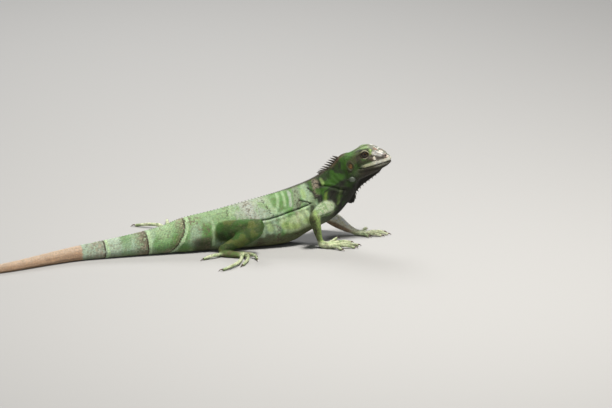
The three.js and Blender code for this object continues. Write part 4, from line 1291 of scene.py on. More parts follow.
def settled(points, target):
    """The nearest places on the target's surface, found by a shrinkwrap."""
    cloud = make_mesh("cloud", points, [])
    wrap = cloud.modifiers.new("wrap", "SHRINKWRAP")
    wrap.target = target
    wrap.wrap_method = "NEAREST_SURFACEPOINT"
    mesh = finished(cloud)
    places = read_places(mesh)
    bpy.data.meshes.remove(mesh)
    drop(cloud)
    return places


def rooted(points, back, across, skin, reach):
    """Roots on the skin near the given places, with the ways back, across and out of the skin
    there, and which of them lie too far off or face another way to be left out."""
    step = 0.5
    count = len(points)
    found = settled(np.concatenate([points, points + back * step, points + across * step]), skin)
    root = found[:count]
    way = found[count:2 * count] - root
    side = found[2 * count:] - root
    out = unit(np.cross(way, side))
    keep = np.linalg.norm(root - points, axis=1) < reach
    keep &= (out * np.cross(back, across)).sum(axis=1) > 0.5
    keep &= (np.linalg.norm(way, axis=1) > 0.3 * step) & (np.linalg.norm(side, axis=1) > 0.3 * step)
    way = unit(way)
    return root, way, np.cross(out, way), out, keep


def even_roots(surface, pitch_back, pitch_across, share_range):
    """Roots in rings: rings a pitch apart along a surface of (share, turn), each with as many
    roots as fit round it, every other ring shifted by half a step. The number in a ring changes
    only where it no longer fits, so that the rows run on. Returns shares and turns."""
    dense = np.linspace(*share_range, 400)
    sides = 64
    turns = np.arange(sides + 1) / sides
    grid = surface(np.repeat(dense, sides + 1), np.tile(turns, 400)).reshape(400, sides + 1, 3)
    centre = grid[:, :-1].mean(axis=1)
    travelled = np.concatenate([[0], np.cumsum(np.linalg.norm(np.diff(centre, axis=0), axis=1))])
    rings = max(2, int(travelled[-1] / pitch_back))
    ring_share = np.interp(np.arange(rings) + 0.5, travelled / travelled[-1] * rings, dense)
    loops = surface(np.repeat(ring_share, sides + 1), np.tile(turns, rings)).reshape(rings, sides + 1, 3)
    steps = np.linalg.norm(np.diff(loops, axis=1), axis=2)
    girth = np.concatenate([np.zeros((rings, 1)), np.cumsum(steps, axis=1)], axis=1)
    counts = np.maximum(5, np.round(girth[:, -1] / pitch_across)).astype(int)
    for i in range(1, rings):
        if abs(girth[i, -1] / counts[i - 1] / pitch_across - 1) < 0.09:
            counts[i] = counts[i - 1]
    ring = np.repeat(np.arange(rings), counts)
    place = np.arange(len(ring)) - np.repeat(np.cumsum(counts) - counts, counts)
    asked = (place + (ring % 2) * 0.5 + 0.001) / counts[ring]
    known = (girth / girth[:, -1:] * 0.999 + np.arange(rings)[:, None]).ravel()
    turn = np.interp(np.mod(asked, 1) * 0.999 + ring, known, np.tile(turns, rings))
    return ring_share[ring], turn


def surface_frame(surface, share, turn, backwards):
    """Places on a surface and the ways back and across there, from small steps of both numbers."""
    step = 0.002
    here = surface(share, turn)
    ahead = surface(np.clip(share + step, 0, 1), turn) - surface(np.clip(share - step, 0, 1), turn)
    round_it = surface(share, turn + step) - surface(share, turn - step)
    back = unit(ahead) * (-1 if backwards else 1)
    out = unit(np.cross(round_it, ahead))
    return here, back, unit(np.cross(out, back))


def cell_keys(points, size):
    """One whole number for each place's cell in a cubic lattice of the given size."""
    cell = np.floor(points / size).astype(np.int64) + 4096
    return (cell[..., 0] * 8192 + cell[..., 1]) * 8192 + cell[..., 2]


def spread_keys(points, size, reach):
    """The cells that lie within reach of any of the places."""
    steps = np.arange(-int(reach / size + 1), int(reach / size + 1) + 1)
    offsets = np.array([o for o in itertools.product(steps, repeat=3) if np.linalg.norm(o) * size <= reach])
    return np.unique(np.concatenate([cell_keys(points + o * size, size) for o in offsets]))


FACE_KINDS = ("threes", "fours", "below")  # of a scale: three-cornered, four-cornered, underneath


class Coat:
    """Scales gathered for one piece: places, faces, colours and places on the bake map."""

    def __init__(self, name, slot):
        """An empty coat for a slot."""
        self.name = name
        self.slot = slot
        self.parts = []

    def add(self, template, roots, ways, sizes, colours, flat):
        """Adds one scale at each root: root + back size x + across size y + out height z."""
        back, across, out = ways
        place = np.asarray(template["places"])
        if place.ndim == 2:
            place = place[None]
        length, width, height = (np.broadcast_to(s, len(roots))[:, None] for s in sizes)
        x, y, z = place[..., 0] * length, place[..., 1] * width, place[..., 2] * height
        points = roots[:, None, :] + back[:, None, :] * x[..., None] + across[:, None, :] * y[..., None] \
            + out[:, None, :] * z[..., None]
        # each corner's colour scaled by the template's painted shade and highlight
        shade = template["shade"][None, :, None]
        spread = np.abs(place[..., :2]).max()
        chart = flat[:, None, :] + 0.0015 * place[..., :2] / spread
        chart = np.broadcast_to(chart, (len(roots), place.shape[1], 2))
        self.parts.append((template, points, colours[:, None, :] * shade, chart))

    def roots_so_far(self):
        """The middle of every scale gathered so far."""
        return np.concatenate([points.mean(axis=1) for _, points, _, _ in self.parts])

    def build(self, material):
        """Turns the gathered scales into pieces of the model, each below the limit of triangles."""
        pieces = [[]]
        filled = 0
        for template, *arrays in self.parts:
            own = sum(len(template[kind]) * (template[kind].shape[1] - 2) for kind in FACE_KINDS)
            room = max(1, PIECE_TRIANGLES // own)
            for start in range(0, len(arrays[0]), room):
                batch = (template, *(array[start:start + room] for array in arrays))
                added = own * len(batch[1])
                if filled + added > PIECE_TRIANGLES:
                    pieces.append([])
                    filled = 0
                pieces[-1].append(batch)
                filled += added
        for i, batches in enumerate(pieces):
            suffix = f"_{i + 1}" if len(pieces) > 1 else ""
            build_scales(self.name + suffix, self.slot, batches, material)


def build_scales(name, slot, batches, material):
    """One piece of scales from batches of the same template."""
    groups = {kind: [] for kind in FACE_KINDS}
    count = 0
    for template, points, _, _ in batches:
        first = count + np.arange(len(points))[:, None, None] * points.shape[1]
        for kind in groups:
            faces = template[kind]
            groups[kind].append((faces[None] + first).reshape(-1, faces.shape[1]))
        count += points.shape[0] * points.shape[1]
    places = np.concatenate([p.reshape(-1, 3) for _, p, _, _ in batches])
    places[:, 2] = np.maximum(places[:, 2], GROUND)
    tops = [np.concatenate(groups["threes"]), np.concatenate(groups["fours"])]
    obj = make_mesh(name, places, tops, groups["below"])
    paint(obj, "marking", np.clip(np.concatenate([c.reshape(-1, 3) for _, _, c, _ in batches]), 0, 1))
    corner = np.concatenate([g.ravel() for g in (*tops, *groups["below"])])
    layer = obj.data.uv_layers.new(name="OFBake")
    chart = np.concatenate([f.reshape(-1, 2) for _, _, _, f in batches])
    layer.data.foreach_set("uv", chart[corner].astype(np.float32).ravel())
    dressed(obj, material, slot)


def varied(colours, seed):
    """Each scale a little lighter or darker, warmer or colder than its neighbours."""
    key = np.arange(len(colours))
    light = 0.84 + 0.3 * chance(key, seed)[:, None]
    warm = 1 + 0.12 * (chance(key, seed + 1)[:, None] - 0.5) * np.array([1, 0.1, -1])
    return colours * light * warm


def cover(coat, skin, surface, backwards, pitch, tile, share_range=(0, 1), reach=2.4, height=0.3,
          keep_if=None, overlap=1.16):
    """Covers a surface of (share, turn) with scales settled on the skin. tile is the part of the
    bake map that the surface unrolls onto: [left, bottom, width, height]."""
    share, turn = even_roots(surface, pitch[0], pitch[1], share_range)
    here, back, across = surface_frame(surface, share, turn, backwards)
    root, way, side, out, keep = rooted(here, back, across, skin, reach)
    keep &= (root[:, 2] > 0.3) | (out[:, 2] > -0.5)
    if keep_if is not None:
        keep &= keep_if(root)
    root, way, side, out, share, turn = (a[keep] for a in (root, way, side, out, share, turn))
    key = np.arange(len(root))
    sway = 0.14 * (chance(key, 45) - 0.5)[:, None]
    way, side = unit(way + side * sway), unit(side - way * sway)
    span = (share - share_range[0]) / (share_range[1] - share_range[0])
    flat = np.stack([tile[0] + tile[2] * on_map(span), tile[1] + tile[3] * on_map(turn)], 1)
    grown = overlap * (0.93 + 0.14 * chance(key, 41))
    tall = height * (0.8 + 0.4 * chance(key, 49))
    sizes = (pitch[0] * grown, pitch[1] * grown, tall)
    coat.add(SCALE, root, (way, side, out), sizes, varied(marking(root), 43), flat)


def tube_surface(part):
    """A tube as a surface of (share, turn)."""
    return lambda share, turn: tube_points(part, share, np.asarray(turn) * 2 * math.pi)


def skin_samples(skin, per_face, seed, wanted):
    """Random places inside the skin's triangles whose middles are wanted, with the normals and
    the area that each stands for: a + (b - a) u + (c - a) v, folded back where u + v > 1."""
    mesh = skin.data
    mesh.calc_loop_triangles()
    triangle = read_places(mesh)[read_rows(mesh.loop_triangles, "vertices", 3, np.int32)]
    triangle = triangle[wanted(triangle.mean(axis=1))]
    a, b, c = (np.repeat(triangle[:, k], per_face, axis=0) for k in range(3))
    key = np.arange(len(a))
    u, v = chance(key, seed), chance(key, seed + 1)
    over = u + v > 1
    u, v = np.where(over, 1 - u, u)[:, None], np.where(over, 1 - v, v)[:, None]
    cross = np.cross(b - a, c - a)
    return a + (b - a) * u + (c - a) * v, unit(cross), np.linalg.norm(cross, axis=1) / 2 / per_face


def on_map(share):
    """A share of one way of the bake map, kept a little clear of its edges."""
    return 0.01 + 0.98 * share


def flat_ways(way, out):
    """The ways back and across in the plane of the skin, nearest to a given way."""
    back = unit(way - out * (way * out).sum(axis=1)[:, None])
    return back, np.cross(out, back)


def fill_gaps(skin, coats, pitch=1.05):
    """Scales wherever the rows leave skin bare, as over elbows, knees and between parts: in eight
    passes, one random place in each cell of a lattice that no scale lies near."""
    fine = 0.4  # cells in which the places near scales are kept
    covered = spread_keys(np.concatenate([c.roots_so_far() for c in coats]), fine, 0.86)
    places, out, _ = skin_samples(skin, 2, 51, lambda p: p[:, 2] > 0.25)
    t, y, h = to_head(places).T
    bare = about_eyes(places) > LID_REACH
    bare &= (ear_share(t, h) > 0.95) | (np.abs(y) < 8) | (t > 55) | (t < 38)
    bare &= (nostril_gap(t, h) > 1.75) | (t > 8)
    bare &= (np.abs(h - mouth_height(t)) > 0.6) | (t > 38) | (t < -3)
    bare &= (places[:, 2] > 0.4) | (out[:, 2] > -0.5)
    places, out = places[bare], out[bare]
    chosen = []
    cell = np.floor(places / (pitch * 1.05)).astype(np.int64)
    parity = (cell % 2) @ (4, 2, 1)
    keys = cell_keys(places, pitch * 1.05)
    for phase in range(8):
        open_ones = np.flatnonzero((parity == phase) & ~np.isin(cell_keys(places, fine), covered))
        _, first = np.unique(keys[open_ones], return_index=True)
        picked = open_ones[first]
        chosen.append(picked)
        covered = np.union1d(covered, spread_keys(places[picked], fine, 0.8))
    picked = np.concatenate(chosen)
    root, out = places[picked], out[picked]
    back, across = flat_ways(lie(root), out)
    place = survey(root)
    round_it = np.arctan2(place["side"], place["lift"]) / math.pi
    flat = np.stack([on_map(place["share"]), 0.5 + 0.49 * round_it], 1)
    coat = Coat("coat_joins", "body_skin")
    size = pitch * 1.3 * (0.9 + 0.2 * chance(np.arange(len(root)), 53))
    coat.add(SCALE, root, (back, across, out), (size, size * 0.95, 0.27), varied(marking(root), 55), flat)
    return coat


# ---------- head plates

PLATE_SIDES = 10
NEIGHBOURS = 16  # of a plate, that may press on its outline
PACKING = 1.155  # plates to a square of the spacing, as they lie in sixes
PLATE_ROUNDS = 11


def plate_spacing(points):
    """How far apart the head's plates stand: large on the snout, small about the eyes."""
    t, y, h = to_head(points).T
    side = np.abs(y)
    roof = smooth(-1.2, 0.8, h - brow_height(t))
    space = np.full(len(t), 1.5)
    space = space + 0.35 * (1 - smooth(20, 24, t)) * roof
    space = space + 0.15 * (1 - smooth(18, 22, t)) * (1 - roof)
    space = space - 0.25 * roof * window(t, 23, 36, 2) * window(side, 3.5, 9.5, 1)
    space = space + 0.3 * window(t, 38, 52, 3) * (1 - smooth(-6, -3, h))
    space = space - 0.35 * (1 - smooth(-2, 1, h - under_height(t) - 2))
    return space - 0.55 * (1 - smooth(1.5, 2.4, about_eyes(points)))


def head_wanted(points):
    """Where the head carries plates: not inside the lids, the ear, the nostrils or the mouth, nor
    on the fold of the throat."""
    t, y, h = to_head(points).T
    side = np.abs(y)
    wanted = (t < 51.5) & (h > under_height(t) - 2) & (h > -20) & (about_eyes(points) > LID_REACH)
    wanted &= (ear_share(t, h) > 1) | (side < 8)
    wanted &= (nostril_gap(t, h) > 1.7) | (side < 2)
    wanted &= (np.abs(h - mouth_height(t)) > 0.3) | (t > 38.5)
    return wanted & ((side > 2.4) | (h > under_height(t) + 0.5) | (t < 6))


# The plates at the jaw's corner: place back from it, out and up, and half size.
JAW_PLATES = [(0, 14, 0, 3.3), (-5.6, 14, 0.2, 1.7), (4.9, 13, -0.6, 1.5), (-9.6, 13, 0.9, 1.2)]


def fixed_plates():
    """Plates with places of their own: a row above and below the mouth, the tip of the snout and
    chin, and the large plate at the corner of the jaw with smaller ones before and behind it.
    Returns places and half sizes."""
    rows = []
    for side in SIDES.values():
        for above, t_start, t_end, step in ((1.5, 1.5, 36, 2.15), (-1.55, 1.2, 36, 2.25)):
            for t in np.arange(t_start, t_end, step):
                rows.append([t, side * head_row(t, 5), mouth_height(t) + above, 1.1])
        t, _, h = JAW_PLATE["at"]
        for back, out, rise, half in JAW_PLATES:
            rows.append([t + back, side * out, h + rise, half])
    rows += [[-0.3, 0, 1, 1.3], [0.2, 0, -2.3, 1.2]]
    rows = np.array(rows)
    return in_head(rows[:, :3]), rows[:, 3]


def nearest_of(points, targets, bonus, blocks=4000):
    """For each place, the target with the least squared distance less its bonus."""
    targets = targets.astype(np.float32)
    middle = targets.mean(axis=0)
    length = ((targets - middle) ** 2).sum(axis=1) - bonus.astype(np.float32)
    nearest = np.empty(len(points), np.int64)
    for start in range(0, len(points), blocks):
        block = points[start:start + blocks].astype(np.float32) - middle
        nearest[start:start + blocks] = (length - 2 * block @ (targets - middle).T).argmin(axis=1)
    return nearest


def plate_seeds(places, area):
    """Middles of plates: as many random places as fit at the wished spacing, then moved eleven
    times to the middle of the places nearest to each, while the fixed plates stay."""
    fixed, fixed_half = fixed_plates()
    worth = area / plate_spacing(places) ** 2 * PACKING
    count = int(worth.sum()) - len(fixed)
    steps = (np.arange(count) + 0.5) / count * worth.sum()
    order = np.argsort(chance(np.arange(len(places)), 73))
    loose = places[order][np.minimum(np.searchsorted(np.cumsum(worth[order]), steps), len(places) - 1)]
    for _ in range(PLATE_ROUNDS):
        seeds = np.concatenate([fixed, loose])
        half = np.concatenate([fixed_half, plate_spacing(loose) / 2])
        owner = nearest_of(places, seeds, half ** 2)
        load = np.bincount(owner, worth, len(seeds))
        moved = np.stack([np.bincount(owner, worth * places[:, k], len(seeds)) for k in range(3)], axis=1)
        moved = moved / np.maximum(load, 1e-9)[:, None]
        loose = np.where((load > 0)[:, None], moved, seeds)[len(fixed):]
    seeds = np.concatenate([fixed, loose])
    half = np.concatenate([fixed_half, plate_spacing(loose) / 2])
    return seeds, half


def plate_outlines(root, back, across, half):
    """How far each plate reaches in ten directions: up to the line midway to every neighbour,
    (d^2 + own half^2 - its half^2) / 2 (d along the direction), and never past its own size."""
    length = (root ** 2).sum(axis=1)
    square = length[:, None] + length[None] - 2 * root @ root.T
    np.fill_diagonal(square, 1e9)
    near = np.argpartition(square, NEIGHBOURS, axis=1)[:, :NEIGHBOURS]
    gap = root[near] - root[:, None, :]
    flat = np.stack([(gap * back[:, None]).sum(axis=2), (gap * across[:, None]).sum(axis=2)], axis=2)
    far = np.linalg.norm(gap, axis=2)
    flat = flat * (far / np.maximum(np.linalg.norm(flat, axis=2), 1e-6))[..., None]
    angle = whole_turn(PLATE_SIDES)
    along_it = flat @ np.stack([np.cos(angle), np.sin(angle)])
    share = (far ** 2 + half[:, None] ** 2 - half[near] ** 2)[..., None] / 2
    reach = np.where(along_it > 0.15 * far[..., None], share / np.maximum(along_it, 1e-6), FAR).min(axis=1)
    return np.clip(reach, 0.25, 1.32 * half[:, None]), angle


def plate_template(reach, angle):
    """Domed plates: four rings of corners at shares of the reach, sunk at the rim and rising to
    the middle, closed below. Their colour is darkened at the rim as painted shade and lightened
    towards the top as painted highlight."""
    ring = np.stack([reach * np.cos(angle), reach * np.sin(angle)], axis=2)
    levels = [(0.98, -0.35), (0.9, 0.55), (0.5, 0.95)]
    rings = [np.concatenate([ring * share, np.full(reach.shape + (1,), rise)], axis=2)
             for share, rise in levels]
    top = np.zeros((len(reach), 1, 3))
    top[..., 2] = 1.06
    n = PLATE_SIDES
    i = np.arange(n)
    k = (i + 1) % n
    walls = [np.stack([i + n * r, k + n * r, k + n * (r + 1), i + n * (r + 1)], 1) for r in range(2)]
    return {
        "places": np.concatenate([*rings, top], axis=1),
        "threes": np.stack([i + 2 * n, k + 2 * n, np.full(n, 3 * n)], axis=1),
        "fours": np.concatenate(walls),
        "below": i[None, ::-1],
        # painted shade on the sunk rim, painted highlight on the dome's top
        "shade": np.concatenate([np.full(n, 0.5), np.full(n, 0.86), np.full(n, 1.04), [1.1]]),
    }


def make_head_plates(skin):
    """The head's plates of many sizes."""
    places, out, area = skin_samples(skin, 5, 59, head_wanted)
    keep = head_wanted(places)
    places, out, area = places[keep], out[keep], area[keep]
    seeds, half = plate_seeds(places, area)
    at = nearest_of(seeds, places, np.zeros(len(places)), 400)
    owner = nearest_of(places, seeds, half ** 2)
    normal = np.stack([np.bincount(owner, out[:, k], len(seeds)) for k in range(3)], axis=1)
    root, normal = places[at], unit(normal + 0.02 * out[at])
    back, across = flat_ways(np.tile(HEAD3[:, 0], (len(root), 1)), normal)
    reach, angle = plate_outlines(root, back, across, half)
    t, y, h = to_head(root).T
    back_share = 0.01 + 0.9 * np.clip(t, -2, HEAD_LENGTH) / HEAD_LENGTH + 0.03
    chart = np.stack([back_share, 0.5 + 0.49 * np.arctan2(y, h) / math.pi], 1)
    coat = Coat("coat_head", "head_skin")
    tall = np.clip(half * 0.42, 0.18, 0.9)
    coat.add(plate_template(reach, angle), root, (back, across, normal), (1, 1, tall),
             varied(marking(root), 57), chart)
    return coat


def make_coats(skin, material):
    """All scales, gathered by region."""
    body = tube_surface(BODY)
    steps = BODY_STEPS
    whole = (0, 0, 1, 1)
    head = make_head_plates(skin)

    def behind_head(points):
        """Where the rows of the trunk may lie: not under the head's plates."""
        t, _, h = to_head(points).T
        return (t > 51) | (h < -18)

    tail = Coat("coat_tail", "tail_skin")
    cover(tail, skin, body, True, (1.5, 1.2), (0, 0, 0.5, 1), (0.012, 7 / steps), height=0.26)
    cover(tail, skin, body, True, (1.7, 1.25), (0.5, 0, 0.5, 1), (7 / steps, 11.3 / steps), height=0.42)
    trunk = Coat("coat_trunk", "body_skin")
    cover(trunk, skin, body, True, (1.22, 1.2), (0, 0, 0.4, 1), (11.3 / steps, 14 / steps), height=0.34)
    cover(trunk, skin, body, True, (1.18, 1.16), (0.4, 0, 0.3, 1), (14 / steps, 16.2 / steps), height=0.32)
    cover(trunk, skin, body, True, (1.08, 1.08), (0.7, 0, 0.3, 1), (16.2 / steps, 0.985), reach=2.2,
          height=0.3, keep_if=behind_head)

    legs = Coat("coat_legs", "leg_skin")
    places = [(key, part) for key in LEGS for part in ("upper", "lower", "palm")]
    for i, (key, part) in enumerate(places):
        tile = (0.5 * (i % 2), (i // 2) / 6, 0.5, 1 / 6)
        pitch = (1.12, 1.02) if part == "palm" else (1.25, 1.15)
        cover(legs, skin, tube_surface(LEGS[key][part]), False, pitch, tile, reach=1.8)
    toes = Coat("coat_toes", "leg_skin")
    for i, digit in enumerate(DIGITS.values()):
        tile = (0.25 * (i % 4), (i // 4) / 5, 0.25, 0.2)
        cover(toes, skin, tube_surface(digit), False, (0.95, 1), tile, reach=1, height=0.22)

    def fold(share, turn):
        """The dewlap as a surface of (share, turn)."""
        return dewlap_points(share, -np.asarray(turn) * 2 * math.pi)

    throat = Coat("coat_throat", "throat_skin")
    cover(throat, skin, fold, True, (1.15, 1.1), whole, (0.02, 0.98), reach=1.5, height=0.24)
    coats = [head, tail, trunk, legs, toes, throat]
    coats.append(fill_gaps(skin, coats))
    for coat in coats:
        coat.build(material)


# ---------- materials


def set_sockets(node, values):
    """Sets a node's sockets: each takes a value, or a link from another node's output."""
    for socket, value in values.items():
        if isinstance(value, bpy.types.NodeSocket):
            node.id_data.links.new(value, node.inputs[socket])
        else:
            node.inputs[socket].default_value = value


def new_material(name, sockets):
    """A node material and its Principled shader with the given sockets set."""
    material = bpy.data.materials.new(name)
    material.use_nodes = True
    shader = material.node_tree.nodes["Principled BSDF"]
    set_sockets(shader, sockets)
    return material, shader


def add_node(material, kind, sockets, **settings):
    """A new node of a material, with its settings and its sockets."""
    node = material.node_tree.nodes.new("ShaderNode" + kind)
    for name, value in settings.items():
        setattr(node, name, value)
    set_sockets(node, sockets)
    return node


def grained(material, shader, grain, strength, depth, detail=2):
    """Fine noise over the piece's own place, which also drives the shader's bump."""
    where = add_node(material, "TexCoord", {}).outputs["Object"]
    fine = add_node(material, "TexNoise", {"Scale": grain, "Detail": detail, "Vector": where}).outputs["Fac"]
    bump = add_node(material, "Bump", {"Strength": strength, "Distance": depth, "Height": fine})
    set_sockets(shader, {"Normal": bump.outputs["Normal"]})
    return fine


def ramp_colour(material, factor, stops):
    """The colour that a ramp of (place, colour) stops has at a factor."""
    ramp = add_node(material, "ValToRGB", {"Fac": factor})
    elements = ramp.color_ramp.elements
    while len(elements) < len(stops):
        elements.new(0.5)
    for element, (position, colour) in zip(elements, stops):
        element.position = position
        element.color = (*colour, 1)
    return ramp.outputs["Color"]


def marked_material(name, roughness, grain, depth, low, high):
    """Colours from the marking attribute, varied by fine noise from low to high, with a bump."""
    material, shader = new_material(name, {"Roughness": roughness, "Specular IOR Level": 0.32})
    marks = add_node(material, "Attribute", {}, attribute_name="marking").outputs["Color"]
    fine = grained(material, shader, grain, 0.5, depth, 4)
    shade = add_node(material, "MapRange", {
        "Value": fine, "From Min": 0.25, "From Max": 0.75, "To Min": low, "To Max": high,
    }).outputs["Result"]
    mix = add_node(material, "Mix", {"Factor": 1, "A": marks, "B": shade}, data_type="RGBA",
                   blend_type="MULTIPLY")
    set_sockets(shader, {"Base Color": mix.outputs["Result"]})
    return material


def plain_material(name, dark, light, roughness, coat=0, grain=900):
    """Two tones mixed by noise, with a fine bump, for small pieces."""
    material, shader = new_material(name, {"Roughness": roughness, "Coat Weight": coat})
    fine = grained(material, shader, grain, 0.3, 0.0001)
    set_sockets(shader, {"Base Color": ramp_colour(material, fine, [(0.35, dark), (0.65, light)])})
    return material


# Colours of the eye by its angle from the axis: pupil, gold edge, dark iris, rim.
IRIS = [
    (0, (0.003, 0.002, 0.002)), (0.25, (0.003, 0.002, 0.002)), (0.265, (0.15, 0.09, 0.028)),
    (0.285, (0.022, 0.013, 0.006)), (0.42, (0.011, 0.007, 0.004)), (0.52, (0.006, 0.004, 0.003)),
]


def iris_material():
    """A wet eye: the iris's colours by the angle that the gaze attribute holds, which noise makes
    a little uneven as spokes do."""
    material, shader = new_material("wet eye", {
        "Roughness": 0.12, "Specular IOR Level": 0.25, "Coat Weight": 0.25, "Coat Roughness": 0.03,
    })
    gaze = add_node(material, "Attribute", {}, attribute_name="gaze").outputs["Color"]
    angle = add_node(material, "SeparateColor", {"Color": gaze}).outputs["Red"]
    spokes = add_node(material, "TexNoise", {"Scale": 14, "Vector": gaze}).outputs["Fac"]
    uneven = add_node(material, "Math", {0: spokes, 1: 0.06, 2: angle}, operation="MULTIPLY_ADD")
    set_sockets(shader, {"Base Color": ramp_colour(material, uneven.outputs["Value"], IRIS)})
    return material


# ---------- stage


def aim(obj, place, target):
    """Puts a lamp or the camera at a place, looking at a target, both in millimetres."""
    obj.location = Vector(place) * MM
    obj.rotation_mode = "QUATERNION"
    obj.rotation_quaternion = (Vector(target) - Vector(place)).to_track_quat("-Z", "Y")


def make_camera():
    """A long lens low on the animal's right, so that the tail runs out of the left edge."""
    azimuth = math.radians(-16)
    elevation = math.radians(16)
    frame_width = 687.64  # of the view, at the animal
    distance = 9500
    back = np.array([math.sin(azimuth) * math.cos(elevation), -math.cos(azimuth) * math.cos(elevation),
                     math.sin(elevation)])
    right = np.array([math.cos(azimuth), math.sin(azimuth), 0])
    upward = np.cross(back, right)
    target = right * 101.1 + upward * 50
    data = bpy.data.cameras.new("camera")
    data.sensor_width = 36
    data.lens = distance * data.sensor_width / frame_width
    data.clip_end = 100
    camera = linked("camera", data)
    aim(camera, target + back * distance, target)
    bpy.context.scene.camera = camera


def make_lamp(name, place, target, size, power, colour=(1, 1, 1)):
    """A square soft lamp."""
    data = bpy.data.lights.new(name, "AREA")
    data.size = size
    data.energy = power
    data.color = colour
    aim(linked(name, data), place, target)


def make_stage():
    """A wide pale floor, a high key lamp, a weak fill and an even sky."""
    half = 30000
    corners = np.array([[-half, -half, 0], [half, -half, 0], [half, half, 0], [-half, half, 0]])
    floor = make_mesh("floor", corners, [np.array([[0, 1, 2, 3]])])
    material, _ = new_material("pale floor", {"Base Color": (0.33, 0.327, 0.322, 1), "Roughness": 0.9})
    floor.data.materials.append(material)
    make_lamp("key lamp", (330, -420, 1500), (40, 0, 30), 0.35, 45, (1, 0.97, 0.92))
    make_lamp("fill lamp", (-900, -1300, 700), (0, 0, 40), 1.2, 3.4, (0.92, 0.96, 1))
    make_lamp("back lamp", (200, 1200, 1100), (60, 0, 50), 0.6, 14)
    world = bpy.data.worlds.new("even sky")
    world.use_nodes = True
    set_sockets(world.node_tree.nodes["Background"], {"Color": (0.9, 0.95, 1, 1), "Strength": 0.13})
    bpy.context.scene.world = world
    bpy.context.scene.view_settings.view_transform = "Standard"


# ---------- eyes, ears


def make_eyes():
    """Each eye: a ball that swells over the iris by 0.12 exp(-(angle / 0.5)^2). The attribute gaze
    holds the angle from the axis and the way across and up."""
    material = iris_material()
    for name, side in SIDES.items():
        out, back, upward = eye_axes(side)
        centre = on_side(EYE, side)
        ways = upright(np.column_stack([back, upward, out]))
        points, groups = ball(centre, np.full(3, EYE_BALL), ways, 96)
        away = unit(points - centre)
        angle = np.arccos(np.clip(away @ out, -1, 1))
        points = points + away * (0.12 * bell(angle, 0.5))[:, None]
        obj = placed(f"eye_ball_{name}", points, groups, material, "eye")
        paint(obj, "gaze", np.stack([angle / 1.6, (away @ back) * 0.5 + 0.5, (away @ upward) * 0.5 + 0.5], 1))
        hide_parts(f"eye_{name}")


# Section of a lid: [distance from the eye's axis as a share of the opening, height over its edge].
LID_SECTION = [(0.95, 0.25), (0.965, 0.45), (1.03, 0.62), (1.13, 0.7), (1.25, 0.6), (1.38, 0.24),
               (1.4, -0.4), (1.15, -0.6), (0.97, -0.3)]
# Rows of beads along it: share, height and size.
BEADS = [(1.03, 0.56, 0.46), (1.13, 0.62, 0.6), (1.26, 0.52, 0.74)]
BEAD_COUNT = 48


def lid_place(side, turn, share, height):
    """A place on the lids at a turn round the eye's axis: the opening's edge there, moved out by
    the share and up by the height, less a slope down from the edge. The upper lid is thicker."""
    out, back, upward = eye_axes(side)
    angle = lid_angle(turn)
    flat = np.cos(turn)[:, None] * back + np.sin(turn)[:, None] * upward
    thick = 1 + 0.35 * np.maximum(np.sin(turn), 0)
    rise = EYE_BALL * np.cos(angle) + height * thick - 0.3 * (share - 1)
    place = on_side(EYE, side) + flat * (EYE_BALL * np.sin(angle) * share)[:, None] + out * rise[:, None]
    return place, unit(out + flat * (1.6 * (share - 1.1))[:, None]), flat


def lid_colours(side, points):
    """The lids' colours: a pale yellow-green line along the upper rim and its front, a fainter one
    below, and dark brown skin about them."""
    share, _, turn, _, _ = eye_share(points, side)
    return layered(tone(58, 50, 34), [
        (tone(186, 184, 156), 0.85 * window(share, 1.14, 1.32, 0.04) * window(turn, 0.75, 3, 0.3)),
        (tone(200, 190, 168), 0.85 * window(share, 1.12, 1.4, 0.05) * window(turn, -2.2, -1, 0.25)),
    ])


def make_lids(material):
    """A rolled rim of skin round each opening, its section carried round the eye, and three rows
    of small beads along it."""
    shares, heights = np.array(LID_SECTION).T
    rings = 72
    for name, side in SIDES.items():
        turns = np.repeat(whole_turn(rings), len(shares))
        if side < 0:
            turns = -turns
        points, _, _ = lid_place(side, turns, np.tile(shares, rings), np.tile(heights, rings))
        obj = placed(f"lid_{name}", points, [ring_faces(rings, len(shares), True)], material, "head_skin")
        paint(obj, "marking", lid_colours(side, points))
        coat = Coat(f"coat_lid_{name}", "head_skin")
        for share, height, size in BEADS:
            turn = (np.arange(BEAD_COUNT) + 0.5 * (share > 1.1)) * (2 * math.pi / BEAD_COUNT) - math.pi
            root, out, flat = lid_place(side, turn, np.full(BEAD_COUNT, share), np.full(BEAD_COUNT, height))
            back, across = flat_ways(flat, out)
            chart = np.stack([0.5 + 0.4 * turn / math.pi, np.full(BEAD_COUNT, share / 2)], axis=1)
            coat.add(SCALE, root, (back, across, out), (size * 1.1, size * 1.15, 0.22),
                     varied(lid_colours(side, root), 75), chart)
        coat.build(material)


def make_ears(skin):
    """Each eardrum: a thin domed skin sunk in its dish, an oval of rings with a cone-like middle,
    closed at the back."""
    material = plain_material("eardrum skin", tone(62, 50, 20), tone(122, 82, 32), 0.42, grain=500)
    rings, sides = 9, 40
    share = np.linspace(1, 0.04, rings)
    turn = whole_turn(sides)
    for name, side in SIDES.items():
        middle = settled(on_side(EAR, side, 1)[None], skin)[0]
        out = unit(HEAD3 @ np.array([0.22, side, 0.1]))
        back, upward = (HEAD3[:, k] - out * (HEAD3[:, k] @ out) for k in (0, 2))
        radii = np.array(EAR["radii"]) + 0.45
        x = share[:, None] * np.cos(turn) * radii[0]
        z = share[:, None] * np.sin(turn) * radii[1] * side
        dome = 0.25 + 0.42 * (1 - share ** 2) - 0.22 * bell(share, 0.2)
        grid = middle + x[..., None] * back + z[..., None] * upward + dome[:, None, None] * out
        points, groups = closed_rings(grid, middle - out * 0.6, middle + out * (dome[-1] - 0.01))
        obj = placed(f"ear_{name}", points, groups, material, "eardrum")
        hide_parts(f"eardrum_{name}")


